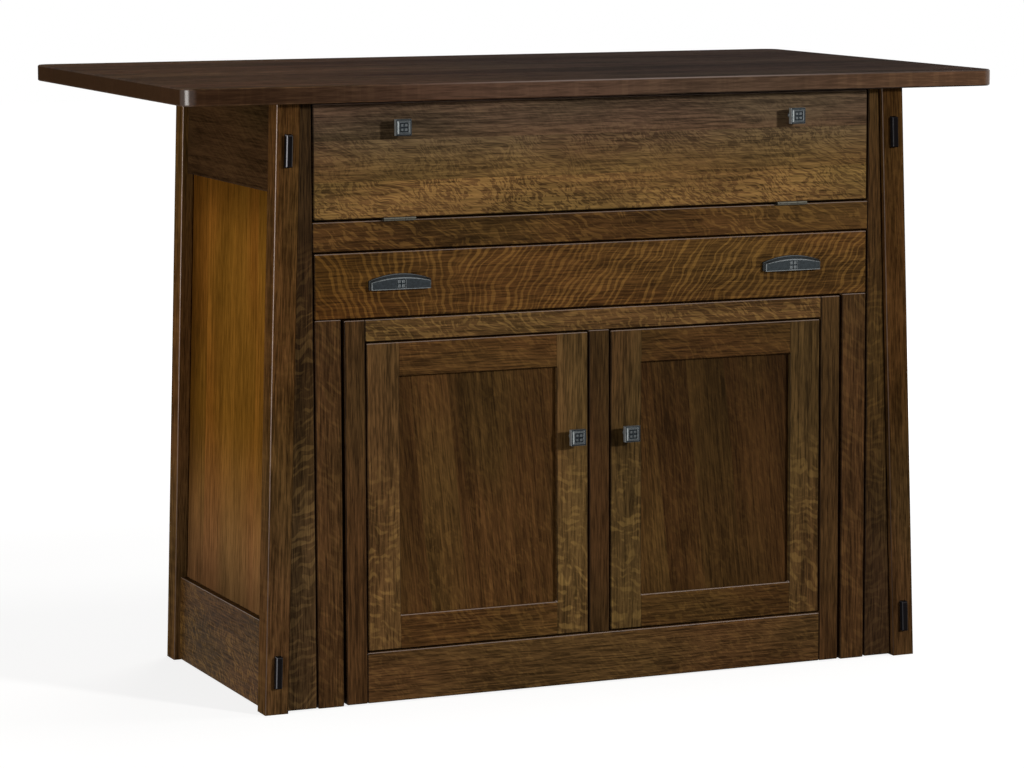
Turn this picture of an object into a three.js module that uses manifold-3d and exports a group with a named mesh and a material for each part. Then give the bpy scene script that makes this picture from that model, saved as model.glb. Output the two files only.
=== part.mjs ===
// Kitchen island with a drop-front leaf bay, a pull-out table and a two-door cupboard.
// Units are millimetres. +Z is up, the front faces -Y, +X is to the right of someone facing the front.
// The origin is on the floor, at the centre of the worktop's outline.

import * as THREE from 'three';
import { mergeVertices } from 'three/addons/utils/BufferGeometryUtils.js';
import Module from 'manifold-3d';

const wasm = await Module();
wasm.setup();

// ---------------------------------------------------------------- driving dimensions

// Overall
const HEIGHT = 914;
const CASE_WIDTH = 1014; // across the posts, under the worktop
const CASE_DEPTH = 461; // from the face frame to the back of the back posts
const SPLAY = 28.5; // how far each side leans out by the floor

// Worktop
const TOP_THICK = 25;
const TOP_CORNER_RADIUS = 25;
const TOP_EASE = 2;
const SIDE_OVERHANG = 148;
const FRONT_OVERHANG = 36;
const SEAT_OVERHANG = 271;

// Corner posts
const POST = 36;
const POST_PROUD = 8;

// Sides and back: rails and recessed panels between the posts
const RAIL_THICK = 22;
const RAIL_INSET = 9;
const TOP_RAIL_DEEP = 131;
const BOTTOM_RAIL_TOP = 130;
const RAIL_LIFT = 2;
const PANEL_THICK = 6;
const PANEL_RECESS = 11;
const PANEL_BITE = 7;
const GROOVE_DEPTH = 8;

// Through tenons of the side rails
const TENON_THICK = 10;
const TENON_TALL = 47;
const TENON_PROUD = 9;
const TENON_STUB = 22;
const TENON_EASE = 1.5;
const TENON_DROP = 3; // below the middle of its rail

// Face frame
const FRAME_THICK = 22;
const OUTER_STILE_TOP = 18.5; // the stile's width under the worktop
const MIDDLE_RAIL = 43.5;
const DOOR_STILE = 32;
const DOOR_TOP_RAIL = 32.5;
const DOOR_BOTTOM_RAIL_TOP = 77.5;
const MULLION = 32.8;

// Gaps
const SEAM = 0.3; // between pieces that are joined
const REVEAL = 2.5; // round doors and table
const LEG_CLEAR = 5;
const LEG_LIFT = 1;

// Flap and its hinges
const FLAP_TALL = 168;
const FLAP_THICK = 20;
const FLAP_KNOB_DROP = 35.5;
const HARDWARE_INSET = 133; // of knobs, pulls and hinges from the opening's edge
const HINGE_LENGTH = 50;
const BARREL_RADIUS = 3;
const PIN_RADIUS = 1.1;
const PIN_CLEARANCE = 0.35;
const LEAF_THICK = 1.2;
const LEAF_REACH = 20;
const LEAF_CLEARANCE = 0.15; // between a hinge leaf and the edge it lies on

// Table
const APRON_TALL = 96;
const APRON_THICK = 22;
const LEG_WIDTH = 40;
const LEG_DEEP = 41;
const LEG_LAP_CLEAR = 3; // between the top of a leg, behind the apron, and the slides
const PULL_RAISE = 41;
const LEAF_COUNT = 2;
const TABLE_LEAF_THICK = 20;
const TABLE_LEAF_END_CLEAR = 7.5;

// Table slides: dovetailed members side by side
const SLIDE_THICK = 18;
const SLIDE_TALL = 44;
const SLIDE_RUN_GAP = 0.7;
const SLIDE_OVERLAP = 112; // left between neighbours when the table is out
const DOVETAIL_LENGTH = 7;
const DOVETAIL_NECK = 9;
const DOVETAIL_TIP = 15;
const DOVETAIL_CLEARANCE = 0.5;

// Carcase boards
const BOARD = 16;
const SHELF_THICK = 18;
const SHELF_SETBACK = 26;
const SHELF_PIN_RADIUS = 2.5;
const SHELF_PIN_REACH = 7;
const STOP_WIDE = 20;
const STOP_DEEP = 18;
const STOP_TALL = 40;

// Doors
const DOOR_THICK = 20;
const DOOR_MEMBER = 50.5;
const DOOR_PANEL_RECESS = 8;
const DOOR_KNOB_DROP = 155;
const DOOR_HINGE_INSET = 90;
const CUP_RADIUS = 17.5;
const CUP_DEPTH = 12;
const CUP_SETBACK = 22;
const ARM_HALF = 7;
const ARM_THICK = 4;
const ARM_LENGTH = 46;
const PLATE_HALF = 17;
const PLATE_THICK = 3;

// Knobs
const KNOB = 24;
const KNOB_DEEP = 26.5;
const KNOB_BLOCK = 8; // thickness of the square block
const KNOB_BLOCK_BACK = 16; // from the foot to the back of that block
const KNOB_TABLET = 17.6; // the raised square on the block, at its front
const KNOB_TABLET_SLOPE = 0.4; // spread of the tablet's sides for each millimetre of its height
const KNOB_NECK_RADIUS = 5;
const KNOB_NECK_FLARE = 3;
const KNOB_FOOT_RADIUS = 6;
const KNOB_FOOT_THICK = 1.2;

// Cup pulls
const PULL_WIDTH = 96;
const PULL_DEEP = 10;
const PULL_RIM = 5; // depth of the upright sides, before the hood slopes in
const PULL_RIM_END = 13.8; // heights at the ends and in the middle of the arch
const PULL_RIM_MIDDLE = 22.8;
const PULL_PLATE_INSET = 2.4; // from the rim's ends to those of the plate in front
const PULL_PLATE_END = 11.1;
const PULL_PLATE_MIDDLE = 16.2;
const PULL_WALL = 2.2;
const PULL_ARCH_STEPS = 12;

// Raised four-square motif on knobs and pulls
const MOTIF_SQUARE = 4.2;
const MOTIF_PITCH = 6.5;
const MOTIF_BORDER = 14;
const MOTIF_RAISE = 0.9;

// ---------------------------------------------------------------- places worked out from them

// Plan
const TOP_WIDTH = CASE_WIDTH + 2 * SIDE_OVERHANG;
const TOP_DEPTH = FRONT_OVERHANG + CASE_DEPTH + SEAT_OVERHANG;
const FACE_Y = -TOP_DEPTH / 2 + FRONT_OVERHANG;
const CASE_BACK_Y = FACE_Y + CASE_DEPTH;
const POST_FRONT_Y = FACE_Y - POST_PROUD;
const FRONT_POST_BACK_Y = POST_FRONT_Y + POST;
const BACK_POST_Y = CASE_BACK_Y - POST;
const FRAME_BACK_Y = FACE_Y + FRAME_THICK;
const INSIDE_FRONT_Y = FRAME_BACK_Y + SEAM;
const BACK_RAIL_Y = CASE_BACK_Y - RAIL_INSET - RAIL_THICK;
const INSIDE_BACK_Y = BACK_RAIL_Y - SEAM;
const PANEL_OFFSET = RAIL_INSET + PANEL_RECESS;
const SHOULDER_HALF = CASE_WIDTH / 2;
const FOOT_HALF = SHOULDER_HALF + SPLAY;
const OPENING_HALF = SHOULDER_HALF - POST - OUTER_STILE_TOP;
const INNER_SIDE_X = OPENING_HALF + SEAM;
const TABLE_HALF = OPENING_HALF - REVEAL;
const HARDWARE_X = OPENING_HALF - HARDWARE_INSET;
const DOOR_FRAME_HALF = TABLE_HALF - LEG_WIDTH - LEG_CLEAR;
const DOOR_OPENING_HALF = DOOR_FRAME_HALF - DOOR_STILE;
const DOOR_OUTER = DOOR_OPENING_HALF - REVEAL;
const DOOR_INNER = MULLION / 2 + REVEAL;
const PARTITION_IN = DOOR_FRAME_HALF - BOARD;
const APRON_BACK_Y = FACE_Y + APRON_THICK;
const LEG_BACK_Y = FACE_Y + LEG_DEEP;
const SLIDE_FRONT_Y = LEG_BACK_Y + LEG_CLEAR + 2 * REVEAL;
const SLIDE_BACK_Y = INSIDE_BACK_Y - LEG_CLEAR;
const TABLE_TRAVEL = 2 * (SLIDE_BACK_Y - SLIDE_FRONT_Y - SLIDE_OVERLAP);

// Heights, from the worktop down
const HINGE_GAP = 2 * (LEAF_THICK + 2 * LEAF_CLEARANCE); // above and below the flap; two hinge leaves fit
const UNDERSIDE = HEIGHT - TOP_THICK;
const CASE_TOP = UNDERSIDE - SEAM;
const LEAN = SPLAY / UNDERSIDE;
const TOP_RAIL_BOTTOM = UNDERSIDE - TOP_RAIL_DEEP;
const FLAP_TOP = UNDERSIDE - HINGE_GAP;
const FLAP_BOTTOM = FLAP_TOP - FLAP_TALL;
const MIDDLE_RAIL_TOP = FLAP_BOTTOM - HINGE_GAP;
const MIDDLE_RAIL_BOTTOM = MIDDLE_RAIL_TOP - MIDDLE_RAIL;
const APRON_TOP = MIDDLE_RAIL_BOTTOM - REVEAL;
const APRON_BOTTOM = APRON_TOP - APRON_TALL;
const SLIDE_Z = APRON_TOP - SLIDE_TALL / 2;
const LEG_TOP = APRON_TOP - SLIDE_TALL - LEG_LAP_CLEAR;
const DOOR_FRAME_TOP = APRON_BOTTOM - REVEAL;
const DOOR_TOP = DOOR_FRAME_TOP - DOOR_TOP_RAIL - REVEAL;
const DOOR_BOTTOM = DOOR_BOTTOM_RAIL_TOP + REVEAL;
const CUPBOARD_TOP = DOOR_FRAME_TOP - BOARD;
const SHELF_Z = (DOOR_BOTTOM_RAIL_TOP + CUPBOARD_TOP - SHELF_THICK) / 2;
const UPPER_TENON_Z = (TOP_RAIL_BOTTOM + UNDERSIDE) / 2 - TENON_DROP;
const LOWER_TENON_Z = (RAIL_LIFT + BOTTOM_RAIL_TOP) / 2 - TENON_DROP;

// Hinge axis of the flap, and the heights of the door hinges
const HINGE_Y = FACE_Y - BARREL_RADIUS - SEAM;
const HINGE_Z = MIDDLE_RAIL_TOP + HINGE_GAP / 2;
const DOOR_HINGES = { lower: DOOR_BOTTOM + DOOR_HINGE_INSET, upper: DOOR_TOP - DOOR_HINGE_INSET };

// ---------------------------------------------------------------- materials

function material(color, roughness, metalness = 0) {
  return new THREE.MeshStandardMaterial({ color, roughness, metalness });
}

const oak = material(0x6a4a28, 0.45);
const darkOak = material(0x3f2c22, 0.4);
const panelOak = material(0x7a5426, 0.45);
const innerOak = material(0x8a6a44, 0.6);
const hardware = material(0x3a3f42, 0.45, 0.85);
const steel = material(0x8c9094, 0.35, 1);

// ---------------------------------------------------------------- shape tools

function outline(points) {
  return new THREE.Shape(points.map(([a, b]) => new THREE.Vector2(a, b)));
}

function box(x, y, z) {
  const geometry = new THREE.BoxGeometry(
    Math.abs(x[1] - x[0]),
    Math.abs(y[1] - y[0]),
    Math.abs(z[1] - z[0]),
  );
  return geometry.translate((x[0] + x[1]) / 2, (y[0] + y[1]) / 2, (z[0] + z[1]) / 2);
}

// A flat outline given in (x, z), carried along Y.
function prismY(shape, y0, y1, options = {}) {
  const settings = { depth: y1 - y0, bevelEnabled: false, curveSegments: 8, ...options };
  const geometry = new THREE.ExtrudeGeometry(shape, settings);
  return geometry.rotateX(Math.PI / 2).translate(0, y1, 0);
}

// A flat outline given in (y, z), carried along X.
function prismX(shape, x0, x1, options = {}) {
  const settings = { depth: x1 - x0, bevelEnabled: false, curveSegments: 8, ...options };
  const geometry = new THREE.ExtrudeGeometry(shape, settings);
  const turn = new THREE.Matrix4().makeBasis(
    new THREE.Vector3(0, 1, 0),
    new THREE.Vector3(0, 0, 1),
    new THREE.Vector3(1, 0, 0),
  );
  return geometry.applyMatrix4(turn).translate(x0, 0, 0);
}

// A flat outline given in (x, y), carried along Z.
function prismZ(shape, z0, z1, options = {}) {
  const settings = { depth: z1 - z0, bevelEnabled: false, curveSegments: 8, ...options };
  return new THREE.ExtrudeGeometry(shape, settings).translate(0, 0, z0);
}

function toSolid(geometry) {
  const bare = geometry.clone();
  for (const name of ['normal', 'uv']) {
    bare.deleteAttribute(name);
  }
  const merged = mergeVertices(bare, 1e-4);
  return new wasm.Manifold(new wasm.Mesh({
    numProp: 3,
    vertProperties: new Float32Array(merged.attributes.position.array),
    triVerts: new Uint32Array(merged.index.array),
  }));
}

function toGeometry(solid) {
  const mesh = solid.getMesh();
  const geometry = new THREE.BufferGeometry();
  geometry.setAttribute('position', new THREE.BufferAttribute(new Float32Array(mesh.vertProperties), 3));
  geometry.setIndex(new THREE.BufferAttribute(new Uint32Array(mesh.triVerts), 1));
  return geometry;
}

function unite(...geometries) {
  return toGeometry(wasm.Manifold.union(geometries.map(toSolid)));
}

function cut(geometry, ...tools) {
  return toGeometry(toSolid(geometry).subtract(wasm.Manifold.union(tools.map(toSolid))));
}

// The X range between two distances from the centre plane, on one side (-1 left, 1 right).
function across(side, inner, outer) {
  return side < 0 ? [-outer, -inner] : [inner, outer];
}

// The X range of an upright side piece, by its distances in from the post's outer face.
function inset(side, outer, inner) {
  return across(side, FOOT_HALF - inner, FOOT_HALF - outer);
}

// Half width of the case at a height, less a distance in from the post's outer face.
function caseHalf(z, offset = 0) {
  return FOOT_HALF - LEAN * z - offset;
}

// Leans an upright side piece inwards as it rises.
function lean(geometry, side) {
  const shear = new THREE.Matrix4().makeShear(0, 0, 0, 0, 0, 0);
  shear.elements[8] = -side * LEAN;
  return geometry.applyMatrix4(shear);
}

// ---------------------------------------------------------------- scene graph

const island = new THREE.Group();

function body(x, y, z) {
  const group = new THREE.Group();
  group.position.set(x, y, z);
  island.add(group);
  return group;
}

const flapBody = body(0, HINGE_Y, HINGE_Z);
const tableBody = body(0, 0, 0);
const middleBodies = { left: body(0, 0, 0), right: body(0, 0, 0) };
const doorBodies = { left: body(-DOOR_OUTER, FACE_Y, 0), right: body(DOOR_OUTER, FACE_Y, 0) };

// Adds a sub-part. Its geometry is written in island coordinates unless an own place is given.
function add(name, geometry, look, parent = island, place = null) {
  const mesh = new THREE.Mesh(geometry, look);
  mesh.name = name;
  if (place) {
    mesh.position.set(...place);
  }
  mesh.position.sub(parent.position);
  parent.add(mesh);
  return mesh;
}

const SIDES = [['left', -1], ['right', 1]];

// ---------------------------------------------------------------- worktop

function roundedPlate(width, depth, radius) {
  const shape = new THREE.Shape();
  const x = width / 2;
  const y = depth / 2;
  shape.moveTo(-x + radius, -y);
  shape.lineTo(x - radius, -y);
  shape.absarc(x - radius, -y + radius, radius, -Math.PI / 2, 0);
  shape.lineTo(x, y - radius);
  shape.absarc(x - radius, y - radius, radius, 0, Math.PI / 2);
  shape.lineTo(-x + radius, y);
  shape.absarc(-x + radius, y - radius, radius, Math.PI / 2, Math.PI);
  shape.lineTo(-x, -y + radius);
  shape.absarc(-x + radius, -y + radius, radius, Math.PI, Math.PI * 1.5);
  return shape;
}

function worktop() {
  const plate = new THREE.ExtrudeGeometry(roundedPlate(TOP_WIDTH, TOP_DEPTH, TOP_CORNER_RADIUS), {
    depth: TOP_THICK - 2 * TOP_EASE,
    bevelThickness: TOP_EASE,
    bevelSize: TOP_EASE,
    bevelOffset: -TOP_EASE,
    bevelSegments: 2,
    curveSegments: 8,
  });
  add('top_slab', plate.translate(0, 0, TOP_EASE), darkOak, island, [0, 0, UNDERSIDE]);
}

// ---------------------------------------------------------------- leaning sides

function panelSlot(side, y, z) {
  return box(inset(side, PANEL_OFFSET - SEAM, PANEL_OFFSET + PANEL_THICK + SEAM), y, z);
}

function mortise(side, y, centre) {
  const middle = POST / 2;
  const half = TENON_THICK / 2 + SEAM;
  const tall = TENON_TALL / 2 + SEAM;
  return box(inset(side, middle - half, middle + half), y, [centre - tall, centre + tall]);
}

function sideTenon(side, y0, y1, centre) {
  const middle = side * (FOOT_HALF - POST / 2);
  const half = TENON_THICK / 2;
  const tall = TENON_TALL / 2;
  const shape = outline([
    [middle - half, centre - tall],
    [middle + half, centre - tall],
    [middle + half, centre + tall],
    [middle - half, centre + tall],
  ]);
  return prismY(shape, y0 + TENON_EASE, y1 - TENON_EASE, {
    bevelEnabled: true,
    bevelThickness: TENON_EASE,
    bevelSize: TENON_EASE,
    bevelOffset: -TENON_EASE,
    bevelSegments: 1,
  });
}

const PANEL_SLOT_Z = [BOTTOM_RAIL_TOP - GROOVE_DEPTH, TOP_RAIL_BOTTOM + GROOVE_DEPTH];

function frontPost(name, side) {
  const blank = box(inset(side, 0, POST), [POST_FRONT_Y, FRONT_POST_BACK_Y], [0, CASE_TOP]);
  const through = [POST_FRONT_Y - 1, FRONT_POST_BACK_Y + 1];
  const post = cut(
    blank,
    mortise(side, through, UPPER_TENON_Z),
    mortise(side, through, LOWER_TENON_Z),
    panelSlot(side, [FRONT_POST_BACK_Y - GROOVE_DEPTH, FRONT_POST_BACK_Y + 1], PANEL_SLOT_Z),
  );
  add(`front_${name}_post`, lean(post, side), oak);
}

function backPost(name, side) {
  const blank = box(inset(side, 0, POST), [BACK_POST_Y, CASE_BACK_Y], [0, CASE_TOP]);
  const blind = [BACK_POST_Y - 1, BACK_POST_Y + TENON_STUB + SEAM];
  const backPanelX = inset(side, POST - GROOVE_DEPTH, POST + 1);
  const backPanelY = [
    CASE_BACK_Y - PANEL_OFFSET - PANEL_THICK - SEAM,
    CASE_BACK_Y - PANEL_OFFSET + SEAM,
  ];
  const post = cut(
    blank,
    mortise(side, blind, UPPER_TENON_Z),
    mortise(side, blind, LOWER_TENON_Z),
    panelSlot(side, [BACK_POST_Y - 1, BACK_POST_Y + GROOVE_DEPTH], PANEL_SLOT_Z),
    box(backPanelX, backPanelY, PANEL_SLOT_Z),
  );
  add(`back_${name}_post`, lean(post, side), oak);
}

function sideRail(name, side, z, tenonZ, slotZ) {
  const shoulders = [FRONT_POST_BACK_Y + SEAM, BACK_POST_Y - SEAM];
  const buried = 4 * TENON_EASE;
  const front = [POST_FRONT_Y - TENON_PROUD, shoulders[0] + buried];
  const back = [shoulders[1] - buried, BACK_POST_Y + TENON_STUB];
  const rail = unite(
    box(inset(side, RAIL_INSET, RAIL_INSET + RAIL_THICK), shoulders, z),
    sideTenon(side, ...front, tenonZ),
    sideTenon(side, ...back, tenonZ),
  );
  const slot = panelSlot(side, [shoulders[0] - 1, shoulders[1] + 1], slotZ);
  add(name, lean(cut(rail, slot), side), oak);
}

function leaningSide(name, side) {
  frontPost(name, side);
  backPost(name, side);
  const topZ = [TOP_RAIL_BOTTOM, CASE_TOP];
  const bottomZ = [RAIL_LIFT, BOTTOM_RAIL_TOP];
  const topSlot = [TOP_RAIL_BOTTOM - 1, TOP_RAIL_BOTTOM + GROOVE_DEPTH];
  const bottomSlot = [BOTTOM_RAIL_TOP - GROOVE_DEPTH, BOTTOM_RAIL_TOP + 1];
  sideRail(`${name}_side_top_rail`, side, topZ, UPPER_TENON_Z, topSlot);
  sideRail(`${name}_side_bottom_rail`, side, bottomZ, LOWER_TENON_Z, bottomSlot);
  const panel = box(
    inset(side, PANEL_OFFSET, PANEL_OFFSET + PANEL_THICK),
    [FRONT_POST_BACK_Y - PANEL_BITE, BACK_POST_Y + PANEL_BITE],
    [BOTTOM_RAIL_TOP - PANEL_BITE, TOP_RAIL_BOTTOM + PANEL_BITE],
  );
  add(`${name}_side_panel`, lean(panel, side), panelOak);
}

// ---------------------------------------------------------------- back

// A board between the two back posts, its ends following their lean.
function betweenPosts(z0, z1, offset, y0, y1) {
  const shape = outline([
    [-caseHalf(z0, offset), z0],
    [caseHalf(z0, offset), z0],
    [caseHalf(z1, offset), z1],
    [-caseHalf(z1, offset), z1],
  ]);
  return prismY(shape, y0, y1);
}

function back() {
  const railY = [BACK_RAIL_Y, BACK_RAIL_Y + RAIL_THICK];
  const panelY1 = CASE_BACK_Y - PANEL_OFFSET;
  const panelY0 = panelY1 - PANEL_THICK;
  const wide = [-FOOT_HALF, FOOT_HALF];
  const slotY = [panelY0 - SEAM, panelY1 + SEAM];
  const topSlot = box(wide, slotY, [TOP_RAIL_BOTTOM - 1, TOP_RAIL_BOTTOM + GROOVE_DEPTH]);
  const bottomSlot = box(wide, slotY, [BOTTOM_RAIL_TOP - GROOVE_DEPTH, BOTTOM_RAIL_TOP + 1]);
  const topRail = betweenPosts(TOP_RAIL_BOTTOM, CASE_TOP, POST + SEAM, ...railY);
  const bottomRail = betweenPosts(RAIL_LIFT, BOTTOM_RAIL_TOP, POST + SEAM, ...railY);
  add('back_top_rail', cut(topRail, topSlot), oak);
  add('back_bottom_rail', cut(bottomRail, bottomSlot), oak);
  const panel = betweenPosts(
    BOTTOM_RAIL_TOP - PANEL_BITE,
    TOP_RAIL_BOTTOM + PANEL_BITE,
    POST - PANEL_BITE,
    panelY0,
    panelY1,
  );
  add('back_panel', panel, panelOak);
}

// ---------------------------------------------------------------- face frame

function outerStile(name, side) {
  const shape = outline([
    [side * OPENING_HALF, RAIL_LIFT],
    [side * caseHalf(RAIL_LIFT, POST + SEAM), RAIL_LIFT],
    [side * caseHalf(CASE_TOP, POST + SEAM), CASE_TOP],
    [side * OPENING_HALF, CASE_TOP],
  ]);
  add(`${name}_outer_stile`, prismY(shape, FACE_Y, FRAME_BACK_Y), oak);
}

function faceFrame() {
  const y = [FACE_Y, FRAME_BACK_Y];
  const railHalf = OPENING_HALF - SEAM;
  add('middle_rail', box([-railHalf, railHalf], y, [MIDDLE_RAIL_BOTTOM, MIDDLE_RAIL_TOP]), oak);
  for (const [name, side] of SIDES) {
    outerStile(name, side);
    const stileX = across(side, DOOR_OPENING_HALF, DOOR_FRAME_HALF);
    add(`door_frame_${name}_stile`, box(stileX, y, [RAIL_LIFT, DOOR_FRAME_TOP]), oak);
  }
  const half = DOOR_OPENING_HALF - SEAM;
  const topZ = [DOOR_FRAME_TOP - DOOR_TOP_RAIL, DOOR_FRAME_TOP];
  add('door_frame_top_rail', box([-half, half], y, topZ), oak);
  add('door_frame_bottom_rail', box([-half, half], y, [RAIL_LIFT, DOOR_BOTTOM_RAIL_TOP]), oak);
  const mullionZ = [DOOR_BOTTOM_RAIL_TOP + SEAM, topZ[0] - SEAM];
  add('door_frame_mullion', box([-MULLION / 2, MULLION / 2], y, mullionZ), oak);
}

// ---------------------------------------------------------------- carcase

function carcase() {
  const y = [INSIDE_FRONT_Y, INSIDE_BACK_Y];
  const half = INNER_SIDE_X - SEAM;
  const bayFloorZ = [MIDDLE_RAIL_TOP - BOARD, MIDDLE_RAIL_TOP];
  add('leaf_bay_floor', box([-half, half], y, bayFloorZ), innerOak);

  const notchY = LEG_BACK_Y + LEG_CLEAR;
  const dustPanel = outline([
    [-half, INSIDE_BACK_Y],
    [-half, notchY],
    [-DOOR_FRAME_HALF, notchY],
    [-DOOR_FRAME_HALF, INSIDE_FRONT_Y],
    [DOOR_FRAME_HALF, INSIDE_FRONT_Y],
    [DOOR_FRAME_HALF, notchY],
    [half, notchY],
    [half, INSIDE_BACK_Y],
  ]);
  add('cupboard_top', prismZ(dustPanel, CUPBOARD_TOP, DOOR_FRAME_TOP), innerOak);

  const bottomHalf = PARTITION_IN - SEAM;
  const bottomZ = [DOOR_BOTTOM_RAIL_TOP - BOARD, DOOR_BOTTOM_RAIL_TOP];
  add('cupboard_bottom', box([-bottomHalf, bottomHalf], y, bottomZ), innerOak);
  const shelfY = [INSIDE_FRONT_Y + SHELF_SETBACK, INSIDE_BACK_Y - SEAM];
  add('cupboard_shelf', box([-bottomHalf, bottomHalf], shelfY, [SHELF_Z, SHELF_Z + SHELF_THICK]), innerOak);
}

// The board between the hollow of the leaning side and the leaf bay, with the flap's stop block on it.
function innerSide(name, side) {
  const y = [INSIDE_FRONT_Y, INSIDE_BACK_Y];
  const board = box(across(side, INNER_SIDE_X, INNER_SIDE_X + BOARD), y, [RAIL_LIFT, CASE_TOP]);
  const flapBack = FACE_Y + FLAP_THICK + SEAM;
  const stop = outline([
    [INNER_SIDE_X - STOP_WIDE, flapBack],
    [OPENING_HALF - SEAM, flapBack],
    [OPENING_HALF - SEAM, INSIDE_FRONT_Y],
    [INNER_SIDE_X + BOARD / 2, INSIDE_FRONT_Y],
    [INNER_SIDE_X + BOARD / 2, flapBack + STOP_DEEP],
    [INNER_SIDE_X - STOP_WIDE, flapBack + STOP_DEEP],
  ].map(([x, insideY]) => [side * x, insideY]));
  add(`${name}_inner_side`, unite(board, prismZ(stop, CASE_TOP - STOP_TALL, CASE_TOP)), innerOak);
}

function partition(name, side) {
  const board = box(
    across(side, PARTITION_IN, DOOR_FRAME_HALF),
    [INSIDE_FRONT_Y, INSIDE_BACK_Y],
    [RAIL_LIFT, CUPBOARD_TOP - SEAM],
  );
  const pinZ = SHELF_Z - SEAM - SHELF_PIN_RADIUS;
  const pinYs = [INSIDE_FRONT_Y + 3 * SHELF_SETBACK, INSIDE_BACK_Y - 2 * SHELF_SETBACK];
  const length = SHELF_PIN_REACH + BOARD / 2;
  const pins = pinYs.map((pinY) => {
    const pin = new THREE.CylinderGeometry(SHELF_PIN_RADIUS, SHELF_PIN_RADIUS, length, 12);
    const centre = side * (PARTITION_IN - SHELF_PIN_REACH + length / 2);
    return pin.rotateZ(Math.PI / 2).translate(centre, pinY, pinZ);
  });
  add(`${name}_partition`, unite(board, ...pins), innerOak);
}

// The concealed hinges' cabinet half: a plate on the partition, and an arm that cranks round the door's
// edge and dips to the floor of the cup in its back. Outline points are measured from the door's front
// outer corner, in towards the middle of the door and back into the cupboard.
function hingeArm(side) {
  const cupFloor = DOOR_THICK - CUP_DEPTH + SEAM;
  const behindDoor = DOOR_THICK + ARM_THICK;
  const behindFrame = FRAME_THICK + 3 * ARM_THICK;
  const barEnd = behindFrame + ARM_LENGTH;
  const partition = DOOR_OUTER - PARTITION_IN;
  const tip = CUP_SETBACK - ARM_THICK / 2;
  const place = ([inward, inside]) => [side * (DOOR_OUTER - inward), FACE_Y + inside];
  const arm = outline([
    [partition + PLATE_THICK / 2, barEnd],
    [partition + PLATE_THICK / 2, behindFrame],
    [-ARM_THICK, behindFrame],
    [2 * ARM_THICK, behindDoor],
    [tip, behindDoor],
    [tip, cupFloor],
    [tip + 2 * ARM_THICK, cupFloor],
    [tip + 2 * ARM_THICK, behindDoor + ARM_THICK],
    [3 * ARM_THICK, behindDoor + ARM_THICK],
    [0, behindFrame + ARM_THICK],
    [0, barEnd],
  ].map(place));
  const plate = box(
    across(side, PARTITION_IN - SEAM - PLATE_THICK, PARTITION_IN - SEAM),
    [FACE_Y + behindFrame - ARM_THICK / 2, FACE_Y + barEnd + ARM_THICK],
    [-PLATE_HALF, PLATE_HALF],
  );
  return unite(prismZ(arm, -ARM_HALF, ARM_HALF), plate);
}

function hingeArms(name, side) {
  for (const [level, z] of Object.entries(DOOR_HINGES)) {
    add(`${name}_door_${level}_hinge_arm`, hingeArm(side), steel, island, [0, 0, z]);
  }
}

// ---------------------------------------------------------------- table leaves at rest in the bay

function tableLeaves() {
  const half = INNER_SIDE_X - TABLE_LEAF_END_CLEAR;
  const width = TABLE_TRAVEL / LEAF_COUNT;
  const front = FACE_Y + FLAP_THICK + STOP_DEEP / 2;
  for (let i = 0; i < LEAF_COUNT; i += 1) {
    const z = MIDDLE_RAIL_TOP + SEAM + i * (TABLE_LEAF_THICK + SEAM);
    const leaf = box([-half, half], [front, front + width], [z, z + TABLE_LEAF_THICK]);
    add(`table_leaf_${i + 1}`, leaf, darkOak);
  }
}

// ---------------------------------------------------------------- table slides

// The four corners of a dovetail that widens from half0 at u0 to half1 at u1: a tongue or a slot.
function dovetail(u0, u1, half0, half1) {
  return [[u0, SLIDE_Z - half0], [u1, SLIDE_Z - half1], [u1, SLIDE_Z + half1], [u0, SLIDE_Z + half0]];
}

// One member's section, in (distance in from the inner side, z). It may have a tongue towards the
// inner side and a slot towards the middle of the cabinet.
function slideSection(u0, tongue, slot) {
  const u1 = u0 + SLIDE_THICK;
  const z0 = SLIDE_Z - SLIDE_TALL / 2;
  const z1 = SLIDE_Z + SLIDE_TALL / 2;
  const points = [[u0, z0], [u1, z0]];
  if (slot) {
    const flare = (DOVETAIL_TIP - DOVETAIL_NECK) / 2 / DOVETAIL_LENGTH;
    const depth = DOVETAIL_LENGTH - SLIDE_RUN_GAP + DOVETAIL_CLEARANCE;
    const mouth = DOVETAIL_NECK / 2 + flare * SLIDE_RUN_GAP + DOVETAIL_CLEARANCE;
    points.push(...dovetail(u1, u1 - depth, mouth, mouth + flare * depth));
  }
  points.push([u1, z1], [u0, z1]);
  if (tongue) {
    const root = dovetail(u0, u0 - DOVETAIL_LENGTH, DOVETAIL_NECK / 2, DOVETAIL_TIP / 2);
    points.push(...root.reverse());
  }
  return points;
}

function slideMember(side, index, y0) {
  const u0 = SEAM + index * (SLIDE_THICK + SLIDE_RUN_GAP);
  const section = slideSection(u0, index > 0, index < 2);
  const shape = outline(section.map(([u, z]) => [side * (INNER_SIDE_X - u), z]));
  return prismY(shape, y0, SLIDE_BACK_Y);
}

function slides(name, side) {
  add(`${name}_slide_fixed`, slideMember(side, 0, SLIDE_FRONT_Y), innerOak);
  add(`${name}_slide_middle`, slideMember(side, 1, SLIDE_FRONT_Y), innerOak, middleBodies[name]);
  add(`${name}_slide_table`, slideMember(side, 2, APRON_BACK_Y + SEAM), innerOak, tableBody);
}

// ---------------------------------------------------------------- flap and its hinges

const KNUCKLE = HINGE_LENGTH / 3;

function barrel(x0, x1) {
  const ring = new THREE.Shape();
  ring.absarc(0, 0, BARREL_RADIUS, 0, Math.PI * 2);
  const bore = new THREE.Path();
  bore.absarc(0, 0, PIN_RADIUS + PIN_CLEARANCE, 0, Math.PI * 2, true);
  ring.holes.push(bore);
  return prismX(ring, x0, x1);
}

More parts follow.
